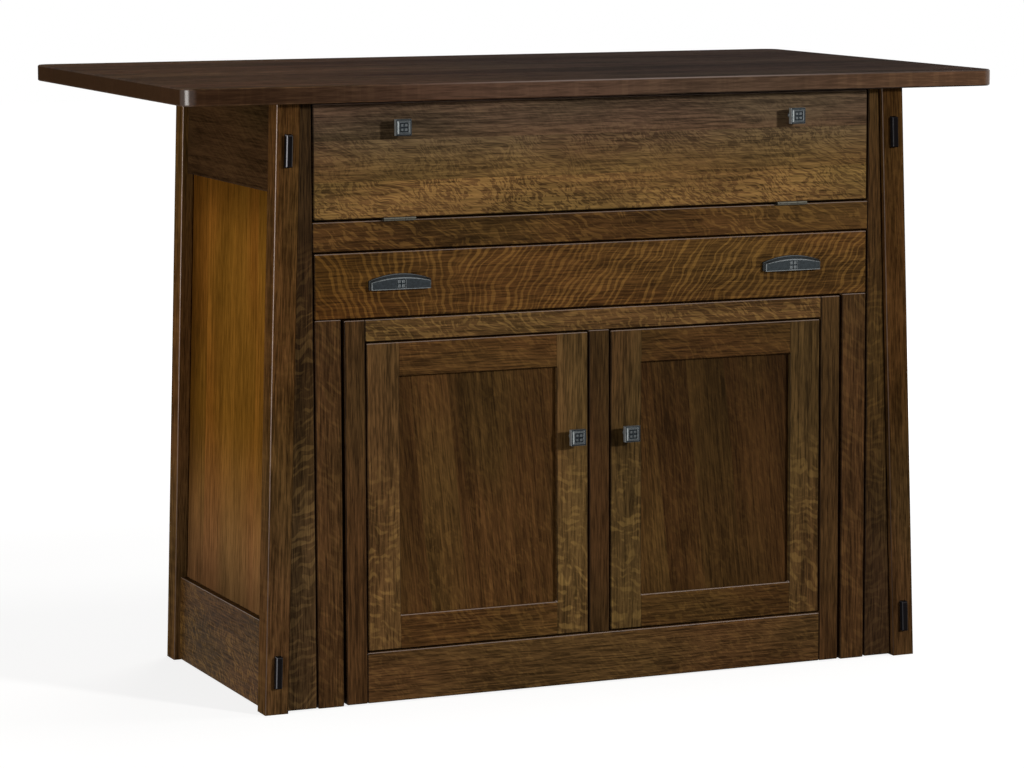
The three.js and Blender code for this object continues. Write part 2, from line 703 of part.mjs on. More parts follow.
// The fixed leaf (up = -1, two end knuckles) or the moving one (up = 1, the middle knuckle and the pin).
// Local origin: the middle of the hinge, on its axis.
function hingeLeaf(up) {
  const end = HINGE_LENGTH / 2;
  const step = KNUCKLE / 2;
  const near = up * (HINGE_GAP / 2 - LEAF_THICK - LEAF_CLEARANCE);
  const z = [near, near + up * LEAF_THICK];
  const spans = up > 0 ? [[-step, step]] : [[-end, -step - SEAM], [step + SEAM, end]];
  const plate = box([-end, end], [BARREL_RADIUS + SEAM, BARREL_RADIUS + LEAF_REACH], z);
  const parts = [plate];
  for (const [x0, x1] of spans) {
    parts.push(barrel(x0, x1));
    parts.push(box([x0, x1], [PIN_RADIUS + 2 * PIN_CLEARANCE, BARREL_RADIUS + 1], z));
  }
  if (up > 0) {
    const pin = new THREE.CylinderGeometry(PIN_RADIUS, PIN_RADIUS, HINGE_LENGTH, 12);
    parts.push(pin.rotateZ(Math.PI / 2));
    parts.push(pinCollar(step));
  }
  return unite(...parts);
}

// Fills the moving knuckle's bore round the pin, because the pin is driven into it.
function pinCollar(step) {
  const radius = PIN_RADIUS + PIN_CLEARANCE + SEAM;
  const collar = new THREE.CylinderGeometry(radius, radius, 2 * step - 1, 16);
  return collar.rotateZ(Math.PI / 2);
}

function flap() {
  const board = box([-TABLE_HALF, TABLE_HALF], [FACE_Y, FACE_Y + FLAP_THICK], [FLAP_BOTTOM, FLAP_TOP]);
  add('flap_board', board, oak, flapBody);
  for (const [name, side] of SIDES) {
    const hinge = [side * HARDWARE_X, HINGE_Y, HINGE_Z];
    add(`flap_${name}_hinge_fixed_leaf`, hingeLeaf(-1), hardware, island, hinge);
    add(`flap_${name}_hinge_moving_leaf`, hingeLeaf(1), hardware, flapBody, hinge);
    const knobPlace = [side * HARDWARE_X, FACE_Y - SEAM, FLAP_TOP - FLAP_KNOB_DROP];
    add(`flap_${name}_knob`, knob(), hardware, flapBody, knobPlace);
  }
}

// ---------------------------------------------------------------- knobs and pulls

function squarePrism(size, y0, y1) {
  const half = size / 2;
  return box([-half, half], [y0, y1], [-half, half]);
}

// A square block that tapers from one size at y0 to another at y1.
function squareTaper(size0, size1, y0, y1) {
  const taper = new THREE.CylinderGeometry(size0 / Math.SQRT2, size1 / Math.SQRT2, y1 - y0, 4);
  return taper.rotateY(Math.PI / 4).rotateX(Math.PI).translate(0, (y0 + y1) / 2, 0);
}

// Four small raised squares, standing on the plane y and facing -Y, about a height z.
function fourSquares(y, z) {
  const step = MOTIF_PITCH / 2;
  const half = MOTIF_SQUARE / 2;
  const squares = [];
  for (const dx of [-step, step]) {
    for (const dz of [-step, step]) {
      squares.push(box([dx - half, dx + half], [y - MOTIF_RAISE, y + 1], [z + dz - half, z + dz + half]));
    }
  }
  return squares;
}

// Square knob with a raised tablet, on a turned neck. Local origin: the middle of its foot; it points
// along -Y.
function knob() {
  const buried = KNOB_BLOCK_BACK + 1;
  const profile = [
    [0, 0],
    [KNOB_FOOT_RADIUS, 0],
    [KNOB_FOOT_RADIUS, KNOB_FOOT_THICK],
    [KNOB_NECK_RADIUS, KNOB_FOOT_THICK + KNOB_FOOT_RADIUS - KNOB_NECK_RADIUS],
    [KNOB_NECK_RADIUS, buried - KNOB_NECK_FLARE],
    [KNOB_FOOT_RADIUS, buried],
    [0, buried],
  ];
  const neck = new THREE.LatheGeometry(profile.map(([r, h]) => new THREE.Vector2(r, h)), 16);
  const blockFront = -KNOB_BLOCK_BACK - KNOB_BLOCK;
  const tabletBack = blockFront + 1;
  const tabletSpread = 2 * KNOB_TABLET_SLOPE * (tabletBack + KNOB_DEEP);
  const field = -KNOB_DEEP + 2 * MOTIF_RAISE;
  const head = unite(
    squarePrism(KNOB, blockFront, -KNOB_BLOCK_BACK),
    squareTaper(KNOB_TABLET, KNOB_TABLET + tabletSpread, -KNOB_DEEP, tabletBack),
  );
  const recessed = cut(head, squarePrism(MOTIF_BORDER, -KNOB_DEEP - 1, field));
  return unite(neck.rotateX(Math.PI), recessed, ...fourSquares(field, 0));
}

// Outline of the pull's face in (x, z): straight below, upright ends, an arched top.
function pullOutline(halfWidth, bottom, endTop, middleTop) {
  const shape = new THREE.Shape();
  shape.moveTo(-halfWidth, bottom);
  shape.lineTo(halfWidth, bottom);
  shape.lineTo(halfWidth, endTop);
  shape.quadraticCurveTo(0, 2 * middleTop - endTop, -halfWidth, endTop);
  return shape;
}

// A solid through outlines of equally many points, each in a plane y of its own, front to back.
function loft(sections) {
  const rings = sections.map(([shape, y]) => (
    shape.getPoints(PULL_ARCH_STEPS).map((p) => new THREE.Vector3(p.x, y, p.y))
  ));
  const count = rings[0].length;
  const last = (rings.length - 1) * count;
  const faces = THREE.ShapeUtils.triangulateShape(rings[0].map((p) => new THREE.Vector2(p.x, p.z)), []);
  const index = [];
  for (const [a, b, c] of faces) {
    index.push(a, b, c);
    index.push(last + a, last + c, last + b);
  }
  for (let near = 0; near < last; near += count) {
    const far = near + count;
    for (let i = 0; i < count; i += 1) {
      const j = (i + 1) % count;
      index.push(near + i, far + j, near + j);
      index.push(near + i, far + i, far + j);
    }
  }
  const geometry = new THREE.BufferGeometry().setFromPoints(rings.flat());
  geometry.setIndex(index);
  return geometry;
}

// The pull's arched body in the planes y of its plate, its rim and its back, shrunk by an amount.
function pullBody(bottom, shrink, plateY, backY) {
  const half = PULL_WIDTH / 2 - shrink;
  const plate = [half - PULL_PLATE_INSET, bottom, PULL_PLATE_END - shrink, PULL_PLATE_MIDDLE - shrink];
  const rim = [half, bottom, PULL_RIM_END - shrink, PULL_RIM_MIDDLE - shrink];
  return loft([
    [pullOutline(...plate), plateY],
    [pullOutline(...rim), -PULL_RIM],
    [pullOutline(...rim), backY],
  ]);
}

// Cup pull: an upright rim, a hood that slopes in from it to an arched plate, open below and at the
// back. Local origin: the middle of its bottom edge, on the apron's face.
function cupPull() {
  const shell = pullBody(0, 0, -PULL_DEEP, 0);
  const hollow = pullBody(-1, PULL_WALL, -PULL_DEEP + PULL_WALL, 1);
  const middle = PULL_PLATE_MIDDLE / 2;
  const border = MOTIF_BORDER / 2;
  const field = -PULL_DEEP + MOTIF_RAISE;
  const recess = box([-border, border], [-PULL_DEEP - 1, field], [middle - border, middle + border]);
  return unite(cut(shell, hollow, recess), ...fourSquares(field, middle));
}

// ---------------------------------------------------------------- pull-out table

function leg(side) {
  const shape = outline([
    [FACE_Y, LEG_LIFT],
    [LEG_BACK_Y, LEG_LIFT],
    [LEG_BACK_Y, LEG_TOP],
    [APRON_BACK_Y + SEAM, LEG_TOP],
    [APRON_BACK_Y + SEAM, APRON_BOTTOM - SEAM],
    [FACE_Y, APRON_BOTTOM - SEAM],
  ]);
  return prismX(shape, ...across(side, TABLE_HALF - LEG_WIDTH, TABLE_HALF));
}

function table() {
  const apron = box([-TABLE_HALF, TABLE_HALF], [FACE_Y, APRON_BACK_Y], [APRON_BOTTOM, APRON_TOP]);
  add('table_apron', apron, oak, tableBody);
  for (const [name, side] of SIDES) {
    add(`table_${name}_leg`, leg(side), oak, tableBody);
    const place = [side * HARDWARE_X, FACE_Y - SEAM, APRON_BOTTOM + PULL_RAISE];
    add(`table_${name}_pull`, cupPull(), hardware, tableBody, place);
    slides(name, side);
  }
}

// ---------------------------------------------------------------- doors

function ring(x0, x1, z0, z1, member) {
  const shape = outline([[x0, z0], [x1, z0], [x1, z1], [x0, z1]]);
  const hole = [[x0, z0, 1, 1], [x0, z1, 1, -1], [x1, z1, -1, -1], [x1, z0, -1, 1]];
  const points = hole.map(([x, z, i, k]) => new THREE.Vector2(x + i * member, z + k * member));
  shape.holes.push(new THREE.Path(points));
  return shape;
}

function door(name, side) {
  const parent = doorBodies[name];
  const [x0, x1] = across(side, DOOR_INNER, DOOR_OUTER);
  const member = DOOR_MEMBER;
  const panelY = FACE_Y + DOOR_PANEL_RECESS;
  const frame = prismY(ring(x0, x1, DOOR_BOTTOM, DOOR_TOP, member), FACE_Y, FACE_Y + DOOR_THICK);
  const deep = member - GROOVE_DEPTH;
  const groove = box(
    [x0 + deep, x1 - deep],
    [panelY - SEAM, panelY + PANEL_THICK + SEAM],
    [DOOR_BOTTOM + deep, DOOR_TOP - deep],
  );
  const cups = Object.values(DOOR_HINGES).map((z) => {
    const cup = new THREE.CylinderGeometry(CUP_RADIUS, CUP_RADIUS, CUP_DEPTH + 1, 24);
    const y = FACE_Y + DOOR_THICK - CUP_DEPTH + (CUP_DEPTH + 1) / 2;
    return cup.translate(side * (DOOR_OUTER - CUP_SETBACK), y, z);
  });
  add(`${name}_door_frame`, cut(frame, groove, ...cups), oak, parent);
  const bite = member - PANEL_BITE;
  const panel = box(
    [x0 + bite, x1 - bite],
    [panelY, panelY + PANEL_THICK],
    [DOOR_BOTTOM + bite, DOOR_TOP - bite],
  );
  add(`${name}_door_panel`, panel, panelOak, parent);
  const knobPlace = [side * (DOOR_INNER + member / 2), FACE_Y - SEAM, DOOR_TOP - DOOR_KNOB_DROP];
  add(`${name}_door_knob`, knob(), hardware, parent, knobPlace);
}

// ---------------------------------------------------------------- the island

worktop();
back();
faceFrame();
carcase();
tableLeaves();
flap();
table();
for (const [name, side] of SIDES) {
  leaningSide(name, side);
  innerSide(name, side);
  partition(name, side);
  hingeArms(name, side);
  door(name, side);
}

export default island;
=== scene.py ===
"""Looks of the kitchen island unit: its materials, a plain studio and the photograph's camera."""

import math

import bpy
from mathutils import Matrix, Vector


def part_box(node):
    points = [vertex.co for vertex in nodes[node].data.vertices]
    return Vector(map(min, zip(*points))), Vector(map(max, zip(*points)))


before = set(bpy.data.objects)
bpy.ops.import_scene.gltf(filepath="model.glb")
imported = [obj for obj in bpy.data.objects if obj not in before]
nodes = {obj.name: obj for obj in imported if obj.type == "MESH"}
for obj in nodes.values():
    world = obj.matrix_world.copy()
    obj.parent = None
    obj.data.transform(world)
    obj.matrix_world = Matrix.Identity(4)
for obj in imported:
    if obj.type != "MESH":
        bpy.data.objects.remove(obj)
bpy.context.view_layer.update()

MM = 0.001
AXES = "xyz"
SIDES = ("left", "right")


# ------------------------------------------------------------------ colours

def shade(colour, factor):
    """A colour made lighter or darker."""
    return tuple(channel * factor for channel in colour)


def three(tone):
    """A tone for each of red, green and blue, from those or from one number."""
    return tone if isinstance(tone, tuple) else (tone, tone, tone)


# Bare wood, then the stains from the palest to the darkest.
RAW = (0.30, 0.185, 0.092)
AMBER = (0.138, 0.0590, 0.0110)
GOLD = (0.098, 0.0535, 0.0185)
BROWN = (0.080, 0.0390, 0.0118)
RUSSET = (0.0665, 0.0335, 0.0118)
TAWNY = (0.063, 0.0290, 0.0072)
UMBER = (0.053, 0.0280, 0.0112)
SMOKED = (0.034, 0.0185, 0.0112)

# What broad patches of every board lean to.
REDDER = (1.05, 0.965, 0.98)
OLIVE = (0.97, 1.02, 0.98)

# What shows on upper arrises: rubbing through the finish and a painted highlight in one.
WORN_AND_HIGHLIT = (0.215, 0.160, 0.135)
POLISHED_AND_HIGHLIT = (0.300, 0.205, 0.160)


# ------------------------------------------------------------------ node trees

def add(tree, kind, **settings):
    """Adds a node to a tree and sets its properties."""
    made = tree.nodes.new(kind)
    for key, value in settings.items():
        setattr(made, key, value)
    return made


class Tree:
    """The nodes of a material or world, made with short calls that give output sockets back."""

    def __init__(self, owner):
        owner.use_nodes = True
        self.owner = owner
        self.tree = owner.node_tree
        self.tree.nodes.clear()
        self.coordinates = None

    def node(self, kind, **settings):
        return add(self.tree, kind, **settings)

    def feed(self, socket, value):
        """Links a socket into another, or sets it to a plain number or colour."""
        if isinstance(value, bpy.types.NodeSocket):
            self.tree.links.new(value, socket)
        elif hasattr(value, "__len__") and len(value) == 3 and len(socket.default_value) == 4:
            socket.default_value = (*value, 1.0)
        else:
            socket.default_value = value

    def coordinate(self, which):
        """A texture coordinate by its name, such as Object or Normal."""
        if self.coordinates is None:
            self.coordinates = self.node("ShaderNodeTexCoord")
        return self.coordinates.outputs[which]

    def place(self):
        """A point's x, y and z in metres."""
        return self.separate(self.coordinate("Object"))

    def math(self, operation, *values, clamp=False):
        made = self.node("ShaderNodeMath", operation=operation, use_clamp=clamp)
        for socket, value in zip(made.inputs, values):
            self.feed(socket, value)
        return made.outputs[0]

    def total(self, *values):
        result = values[0]
        for value in values[1:]:
            result = self.math("ADD", result, value)
        return result

    def most(self, *values):
        """The largest of several numbers."""
        result = values[0]
        for value in values[1:]:
            result = self.math("MAXIMUM", result, value)
        return result

    def times(self, a, b):
        return self.math("MULTIPLY", a, b)

    def less(self, a, b):
        return self.math("SUBTRACT", a, b)

    def lacking(self, value):
        """What a value from 0 to 1 lacks to 1."""
        return self.less(1.0, value)

    def centred(self, noise):
        """Noise, which lies around a half, moved to lie around 0."""
        return self.less(noise, 0.5)

    def distance(self, a, b):
        return self.math("ABSOLUTE", self.less(a, b))

    def below(self, a, b):
        return self.math("LESS_THAN", a, b)

    def above(self, a, b):
        return self.math("GREATER_THAN", a, b)

    def step(self, value, low, high):
        """0 below low, 1 above high and a smooth rise between them."""
        made = self.node("ShaderNodeMapRange", interpolation_type="SMOOTHSTEP")
        for name, given in (("Value", value), ("From Min", low), ("From Max", high)):
            self.feed(made.inputs[name], given)
        return made.outputs["Result"]

    def scaled(self, value, low, high):
        """0 to 1 laid out between low and high."""
        made = self.node("ShaderNodeMapRange")
        for name, given in (("Value", value), ("To Min", low), ("To Max", high)):
            self.feed(made.inputs[name], given)
        return made.outputs["Result"]

    def separate(self, vector):
        made = self.node("ShaderNodeSeparateXYZ")
        self.feed(made.inputs[0], vector)
        return list(made.outputs)

    def combine(self, x, y, z):
        made = self.node("ShaderNodeCombineXYZ")
        for socket, value in zip(made.inputs, (x, y, z)):
            self.feed(socket, value)
        return made.outputs[0]

    def noise(self, place, detail=1.0, rough=0.5):
        made = self.node("ShaderNodeTexNoise")
        self.feed(made.inputs["Vector"], place)
        self.feed(made.inputs["Scale"], 1.0)
        self.feed(made.inputs["Detail"], detail)
        self.feed(made.inputs["Roughness"], rough)
        return made.outputs["Fac"]

    def mix(self, factor, a, b, blend="MIX"):
        """Goes from colour a to colour b."""
        made = self.node("ShaderNodeMix", data_type="RGBA", blend_type=blend)
        self.feed(made.inputs[0], factor)
        self.feed(made.inputs[6], a)
        self.feed(made.inputs[7], b)
        return made.outputs[2]

    def blend(self, factor, a, b):
        """The same for plain numbers."""
        made = self.node("ShaderNodeMix", data_type="FLOAT")
        self.feed(made.inputs[0], factor)
        self.feed(made.inputs[2], a)
        self.feed(made.inputs[3], b)
        return made.outputs[0]

    def tinted(self, colour, by):
        """A colour multiplied by a number or by another colour."""
        if isinstance(by, float):
            by = three(by)
        return self.mix(1.0, colour, by, "MULTIPLY")

    def gradient(self, value, low, high, first, last):
        """From one tone at low to another at high."""
        return self.mix(self.step(value, low, high), three(first), three(last))

    def surface(self, colour, roughness, height, depth, strength, coat=None, **constants):
        """The Principled shader and the output. constants are set on the shader's own sockets."""
        shader = self.node("ShaderNodeBsdfPrincipled")
        self.feed(shader.inputs["Base Color"], colour)
        self.feed(shader.inputs["Roughness"], roughness)
        if coat is not None:
            self.feed(shader.inputs["Coat Weight"], coat)
        for name, value in constants.items():
            shader.inputs[name.replace("_", " ")].default_value = value
        bump = self.node("ShaderNodeBump")
        bump.inputs["Strength"].default_value = strength
        bump.inputs["Distance"].default_value = depth
        self.feed(bump.inputs["Height"], height)
        self.feed(shader.inputs["Normal"], bump.outputs[0])
        self.feed(self.node("ShaderNodeOutputMaterial").inputs[0], shader.outputs[0])
        return self.owner


def material_tree(name):
    return Tree(bpy.data.materials.new(name))


# ------------------------------------------------------------------ oak

# Each pattern, with how often it repeats in a metre along the fibres, across them and into the board.
RING = dict(scale=(1.6, 150.0, 90.0), detail=2.0, rough=0.6)
DASH = dict(scale=(22.0, 430.0, 300.0), detail=2.0, rough=0.7)
PORE = dict(scale=(38.0, 560.0, 560.0), detail=1.0, rough=0.55)
CLOUD = dict(scale=(4.2, 15.0, 9.0), detail=2.0, rough=0.55)
PATCH = dict(scale=(2.6, 7.0, 5.0), detail=1.0)
DRIFT = dict(scale=(11.0, 13.0, 0.0), detail=1.0)
WIGGLE = dict(scale=(20.0, 46.0, 0.0), detail=1.0)
REGION = dict(scale=(5.0, 14.0, 9.0), detail=1.0)

# How strongly the patterns change the tone, and the tones at both ends, as shares of the stain.
RING_GAIN, DASH_GAIN, CLOUD_GAIN = 1.1, 3.0, 1.3
DARK_GRAIN, PALE_GRAIN = 0.46, 1.6
PORE_TONE, PORE_SHARE = 0.25, 0.5
PORE_EDGES, PATCH_EDGES = (0.54, 0.70), (0.38, 0.66)
BETWEEN_RIBBONS = 0.90
RIBBON_TONE, RIBBON_PLAINNESS = (2.2, 2.35, 2.1), 0.45

# Ribbons: how far they wander, how often they break and tick in one spacing and length, and what
# is left of them in the plain regions of a board, which is more where they are more even.
DRIFT_SPAN, WIGGLE_SPAN = 30 * MM, 11 * MM
BREAK_RATE, TICK_RATE, TICK_EDGES = (1.05, 1.0), (2.9, 2.4), (0.54, 0.70)
SWELL_GAIN, BREAK_GAIN, EVEN_LIMIT = 0.5, 2.6, 1.2
BROAD_SHARE, FINE_SHARE = 0.85, 0.35
REGION_EDGES, PLAIN_LEAST, PLAIN_GAIN = (0.30, 0.62), 0.4, 0.35

# How far a seed moves a board in the patterns on each axis, in metres, and a stave from the last.
SEED_SHARES, SEED_REACH, STAVE_SHIFT = (1.37, 2.71, 0.83), 7.0, 0.73

# Roughness outside and inside the pores, and the weights of dashes and pores in the relief.
OAK_GLOSS = (0.40, 0.55)
DASH_DEPTH, PORE_DEPTH = 0.4, 0.6


def stepped(t, across, seams, values):
    """A number that jumps at each seam from one of the values to the next."""
    level = values[0]
    for seam, low, high in zip(seams, values, values[1:]):
        level = t.total(level, t.times(t.above(across, seam), high - low))
    return level


def oak(t, run, face, stain, seed, contrast=1.0, rings=1.0, clouds=1.0, lean=0.0, seams=(), tones=(),
        fade=None, climb=None, **figure):
    """Colour, roughness and relief of quarter-sawn oak with its fibres along the axis run.

    face is the axis that the board's face looks along, and seed puts each board in its own part
    of the pattern. lean is how far the fibres tilt. seams are the glue lines of a board made of
    several staves, and tones the brightness of each. fade is (low, high, tone at low, tone at
    high) along the fibres, and climb the same across them. A tone is one number or one for each
    of red, green and blue. figure goes to ray_figure.
    """
    place = dict(zip(AXES, t.place()))
    side = next(axis for axis in AXES if axis not in (run, face))
    along, across = place[run], place[side]
    if lean:
        across = t.total(across, t.times(along, lean))
    shift = [math.fmod(seed * share, SEED_REACH) for share in SEED_SHARES]
    moved = [t.total(value, by) for value, by in zip((along, across, place[face]), shift)]
    if seams:
        jumps = [STAVE_SHIFT * number for number in range(len(seams) + 1)]
        moved[0] = t.total(moved[0], stepped(t, across, seams, jumps))

    def pattern(scale, **settings):
        return t.noise(t.combine(*(t.times(a, b) for a, b in zip(moved, scale))), **settings)

    dash = pattern(**DASH)
    pore = t.step(pattern(**PORE), *PORE_EDGES)
    value = t.total(
        t.times(t.centred(pattern(**RING)), RING_GAIN * rings),
        t.times(t.centred(dash), DASH_GAIN * contrast),
        t.times(t.centred(pattern(**CLOUD)), CLOUD_GAIN * clouds))
    value = t.math("ADD", value, 0.5, clamp=True)
    colour = t.mix(value, shade(stain, DARK_GRAIN), shade(stain, PALE_GRAIN))
    colour = t.mix(t.times(pore, PORE_SHARE * contrast), colour, shade(stain, PORE_TONE))
    patch = t.step(pattern(**PATCH), *PATCH_EDGES)
    colour = t.mix(patch, t.tinted(colour, REDDER), t.tinted(colour, OLIVE))
    if figure:
        ribbon = ray_figure(t, along, across, pattern, shift[2], seams=seams, **figure)
        pale = t.tinted(t.mix(RIBBON_PLAINNESS, colour, stain), RIBBON_TONE)
        colour = t.mix(ribbon, t.tinted(colour, BETWEEN_RIBBONS), pale)

    if tones:
        levels = [stepped(t, across, seams, channel) for channel in zip(*map(three, tones))]
        colour = t.tinted(colour, t.combine(*levels))
    for where, change in ((along, fade), (across, climb)):
        if change:
            colour = t.tinted(colour, t.gradient(where, *change))

    height = t.less(t.times(dash, DASH_DEPTH), t.times(pore, PORE_DEPTH))
    return colour, t.scaled(pore, *OAK_GLOSS), height


def ray_figure(t, along, across, pattern, depth, seams=(), fleck=0.6, spacing=10 * MM,
               length=60 * MM, middle=0.0, slope=0.0, turn=0.0, fan=0.0, even=0.5, crisp=0.30,
               cover=0.06, wave=1.0, ends=None, flecks=()):
    """How much ray figure shows at a point, 0 to 1: pale ribbons that cross the fibres.

    fleck is how strongly it shows, spacing and length are the size of the ribbons. slope is how
    far they lean off square to the fibres, measured from the height middle. With a fan, they
    stand square at turn and reach that slope on both sides of it. even is how regular they are,
    crisp how soft their edges, cover how thin they are and wave how far they wander. ends is
    (none, full) along the fibres, and flecks the strength in each stave.
    """
    lift = t.less(across, middle)
    if fan:
        slope = t.times(t.math("TANH", t.times(t.less(along, turn), fan)), slope)
    phase = t.total(along, t.times(lift, slope),
                    t.times(t.centred(pattern(**DRIFT)), DRIFT_SPAN * wave),
                    t.times(t.centred(pattern(**WIGGLE)), WIGGLE_SPAN * wave))

    def flicker(rate):
        """Noise that follows the ribbons."""
        return t.noise(t.combine(
            t.times(phase, rate[0] / spacing), t.times(lift, rate[1] / length), depth))

    swell = t.math("SINE", t.times(phase, 2.0 * math.pi / spacing))
    broken = t.times(t.centred(flicker(BREAK_RATE)), BREAK_GAIN * (EVEN_LIMIT - even))
    broad = t.step(t.total(t.times(swell, SWELL_GAIN * even), broken), cover, cover + crisp)
    fine = t.step(flicker(TICK_RATE), *TICK_EDGES)
    ribbon = t.math("ADD", t.times(broad, BROAD_SHARE), t.times(fine, FINE_SHARE), clamp=True)
    region = t.step(pattern(**REGION), *REGION_EDGES)
    ribbon = t.times(ribbon, t.scaled(region, PLAIN_LEAST + PLAIN_GAIN * even, 1.0))
    if ends:
        shown = t.step(along, min(ends), max(ends))
        ribbon = t.times(ribbon, shown if ends[0] < ends[1] else t.lacking(shown))
    if flecks:
        ribbon = t.times(ribbon, stepped(t, across, seams, flecks))
    return t.times(ribbon, fleck)


# ------------------------------------------------------------------ the finish on the oak

# How far a surface turns from the axes where an arris begins and where it fully is one, and how
# far it faces to the side where the pale arris on that side, a painted highlight, begins and is full.
ARRIS_TURN = (0.015, 0.14)
FACES_SIDEWAYS = (0.05, 0.35)

# The tone of a lower arris, which is painted shade, how much of the pale colour shows on an upper
# one, which is rubbing and painted highlight in one, and how much of that is left at the bottom of the
# rise.
LOWER_ARRIS_SHADE, WORN_SHARE, LEAST_WEAR_AND_HIGHLIGHT = 0.30, 0.7, 0.3
WAX_ROUGHNESS = 0.22
OAK_RELIEF = dict(depth=0.12 * MM, strength=0.35)
FINISH = ("specular", "coat", "rub", "worn", "toward", "rise")


def turned(t):
    """The surface's normal, its parts' sizes, and 1 where it turns between two axes, as on an arris."""
    normal = t.separate(t.coordinate("Normal"))
    sizes = [t.math("ABSOLUTE", part) for part in normal]
    return normal, sizes, t.step(t.lacking(t.most(*sizes)), *ARRIS_TURN)


def finish_wood(t, colour, gloss, height, specular=0.012, coat=0.55, rub=(-0.05, 0.45), worn=WORN_AND_HIGHLIT,
                toward=0, rise=None):
    """Pales the upper arrises, where wax shines, for rubbing and a painted highlight, and darkens the
    lower ones with painted shade.

    rub is the slope at which an arris begins to be an upper one, and where it fully is. The colour
    given for upper arrises shows there. toward is -1 or 1 for pale arrises only on that side in X, a
    painted highlight from the side the light comes from, and rise the two heights between which that
    paleness grows to its full strength, the painted highlight fading towards the floor.
    """
    normal, _, edge = turned(t)
    upper = t.step(normal[2], *rub)
    if toward:
        upper = t.times(upper, t.step(t.times(normal[0], toward), *FACES_SIDEWAYS))
    if rise:
        upper = t.times(upper, t.blend(t.step(t.place()[2], *rise), LEAST_WEAR_AND_HIGHLIGHT, 1.0))
    # Lower arrises get painted shade; upper ones a paler colour, rubbing and painted highlight in one.
    rubbed_and_painted_light = t.mix(upper, t.tinted(colour, LOWER_ARRIS_SHADE), t.mix(WORN_SHARE, colour, worn))
    return t.surface(
        t.mix(edge, colour, rubbed_and_painted_light), gloss, height, coat=t.times(t.times(edge, upper), coat),
        Specular_IOR_Level=specular, Coat_Roughness=WAX_ROUGHNESS, **OAK_RELIEF)


def dress(node, material):
    """Gives a piece its material."""
    piece = nodes[node]
    piece.data.materials.clear()
    piece.data.materials.append(material)


def dress_oak(node, run, face, stain, seed, **settings):
    """Dresses a piece of one grain direction. The settings named in FINISH are for its finish."""
    t = material_tree(f"{node}_oak")
    finish = {word: settings.pop(word) for word in FINISH if word in settings}
    dress(node, finish_wood(t, *oak(t, run, face, stain, seed, **settings), **finish))


def near_line(t, value, line, width):
    """1 within a width of a line."""
    return t.below(t.distance(value, line), width)


def middle(node, axis):
    """The middle of a piece's box along an axis."""
    low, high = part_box(node)
    return (low[axis] + high[axis]) / 2


def seams_at(low, high, shares):
    """The places of glue lines, from their shares of the way from low to high."""
    return [low + share * (high - low) for share in shares]


def even_shares(count):
    return [(number + 1) / count for number in range(count - 1)]


# ------------------------------------------------------------------ front

SEED_STEP = 3.0
STILE_FADES = (
    (0.2, 0.40, (1.12, 1.16, 1.22), (0.79, 0.79, 0.74)),
    (0.1, 0.45, (0.72, 0.75, 0.80), (1.12, 1.09, 0.84)))


def dress_front():
    """The drop front, the middle rail, the table's U and the frame around the doors."""
    # The drop front turns grey-blue towards its top: a painted sheen.
    dress_oak("flap_board", "x", "y", shade(GOLD, 0.90), seed=3.1, clouds=1.2,
              fleck=0.95, spacing=4.9 * MM, length=6.4 * MM, middle=0.75, slope=1.2, even=0.1,
              crisp=0.2, wave=3.0, cover=-0.10, seams=(0.772, 0.832), flecks=(0.95, 0.55, 0.25),
              tones=(1.06, 1.03, 0.99), climb=(0.765, 0.865, 1.0, (0.80, 0.92, 1.60)))
    dress_oak("middle_rail", "x", "y", shade(BROWN, 0.68), seed=7.7, clouds=1.5,
              fleck=0.75, spacing=9 * MM, length=13 * MM, middle=0.693, slope=1.3, even=0.2,
              crisp=0.22, wave=2.6)
    dress_oak("table_apron", "x", "y", TAWNY, seed=11.3, clouds=0.7, rings=0.6,
              fleck=0.9, spacing=11.5 * MM, length=70 * MM, middle=middle("table_apron", 2),
              slope=-0.70, turn=-0.285, fan=6.0, even=0.65, cover=0.07, crisp=0.24, wave=1.5,
              fade=(-0.42, -0.25, (0.86, 0.80, 0.74), (1.02, 1.04, 1.15)))
    for number, side in enumerate(SIDES):
        later = SEED_STEP * number
        dress_oak(f"table_{side}_leg", "z", "y", shade(RUSSET, (0.94, 0.76)[number]),
                  seed=17.9 + later, clouds=1.1,
                  fleck=0.35, spacing=15 * MM, length=22 * MM, slope=0.8, even=0.3)
        dress_oak(f"{side}_outer_stile", "z", "y", shade(UMBER, (0.98, 0.82)[number]),
                  seed=23.5 + later, clouds=1.0, fleck=(0.75, 0.35)[number],
                  spacing=14 * MM, length=24 * MM, slope=-0.25, even=0.5, crisp=0.22, wave=2.4,
                  ends=(0.72, 0.58), fade=STILE_FADES[number])
        dress_oak(f"door_frame_{side}_stile", "z", "y", shade(RUSSET, (0.79, 0.73)[number]),
                  seed=31.1 + later, clouds=1.0)
    dress_oak("door_frame_top_rail", "x", "y", shade(GOLD, 0.77), seed=37.3, clouds=1.6,
              fleck=0.8, spacing=9 * MM, length=11 * MM, middle=0.56, slope=1.0, even=0.2,
              crisp=0.22, wave=2.4)
    dress_oak("door_frame_bottom_rail", "x", "y", shade(RUSSET, 1.02), seed=41.9, clouds=1.1,
              contrast=1.1, rings=0.8, fleck=0.3, spacing=8 * MM, length=10 * MM, middle=0.09,
              slope=1.0, even=0.1, wave=2.0)
    dress_oak("door_frame_mullion", "z", "y", shade(RUSSET, 0.58), seed=43.3, rings=0.6,
              contrast=0.9)


# ------------------------------------------------------------------ doors

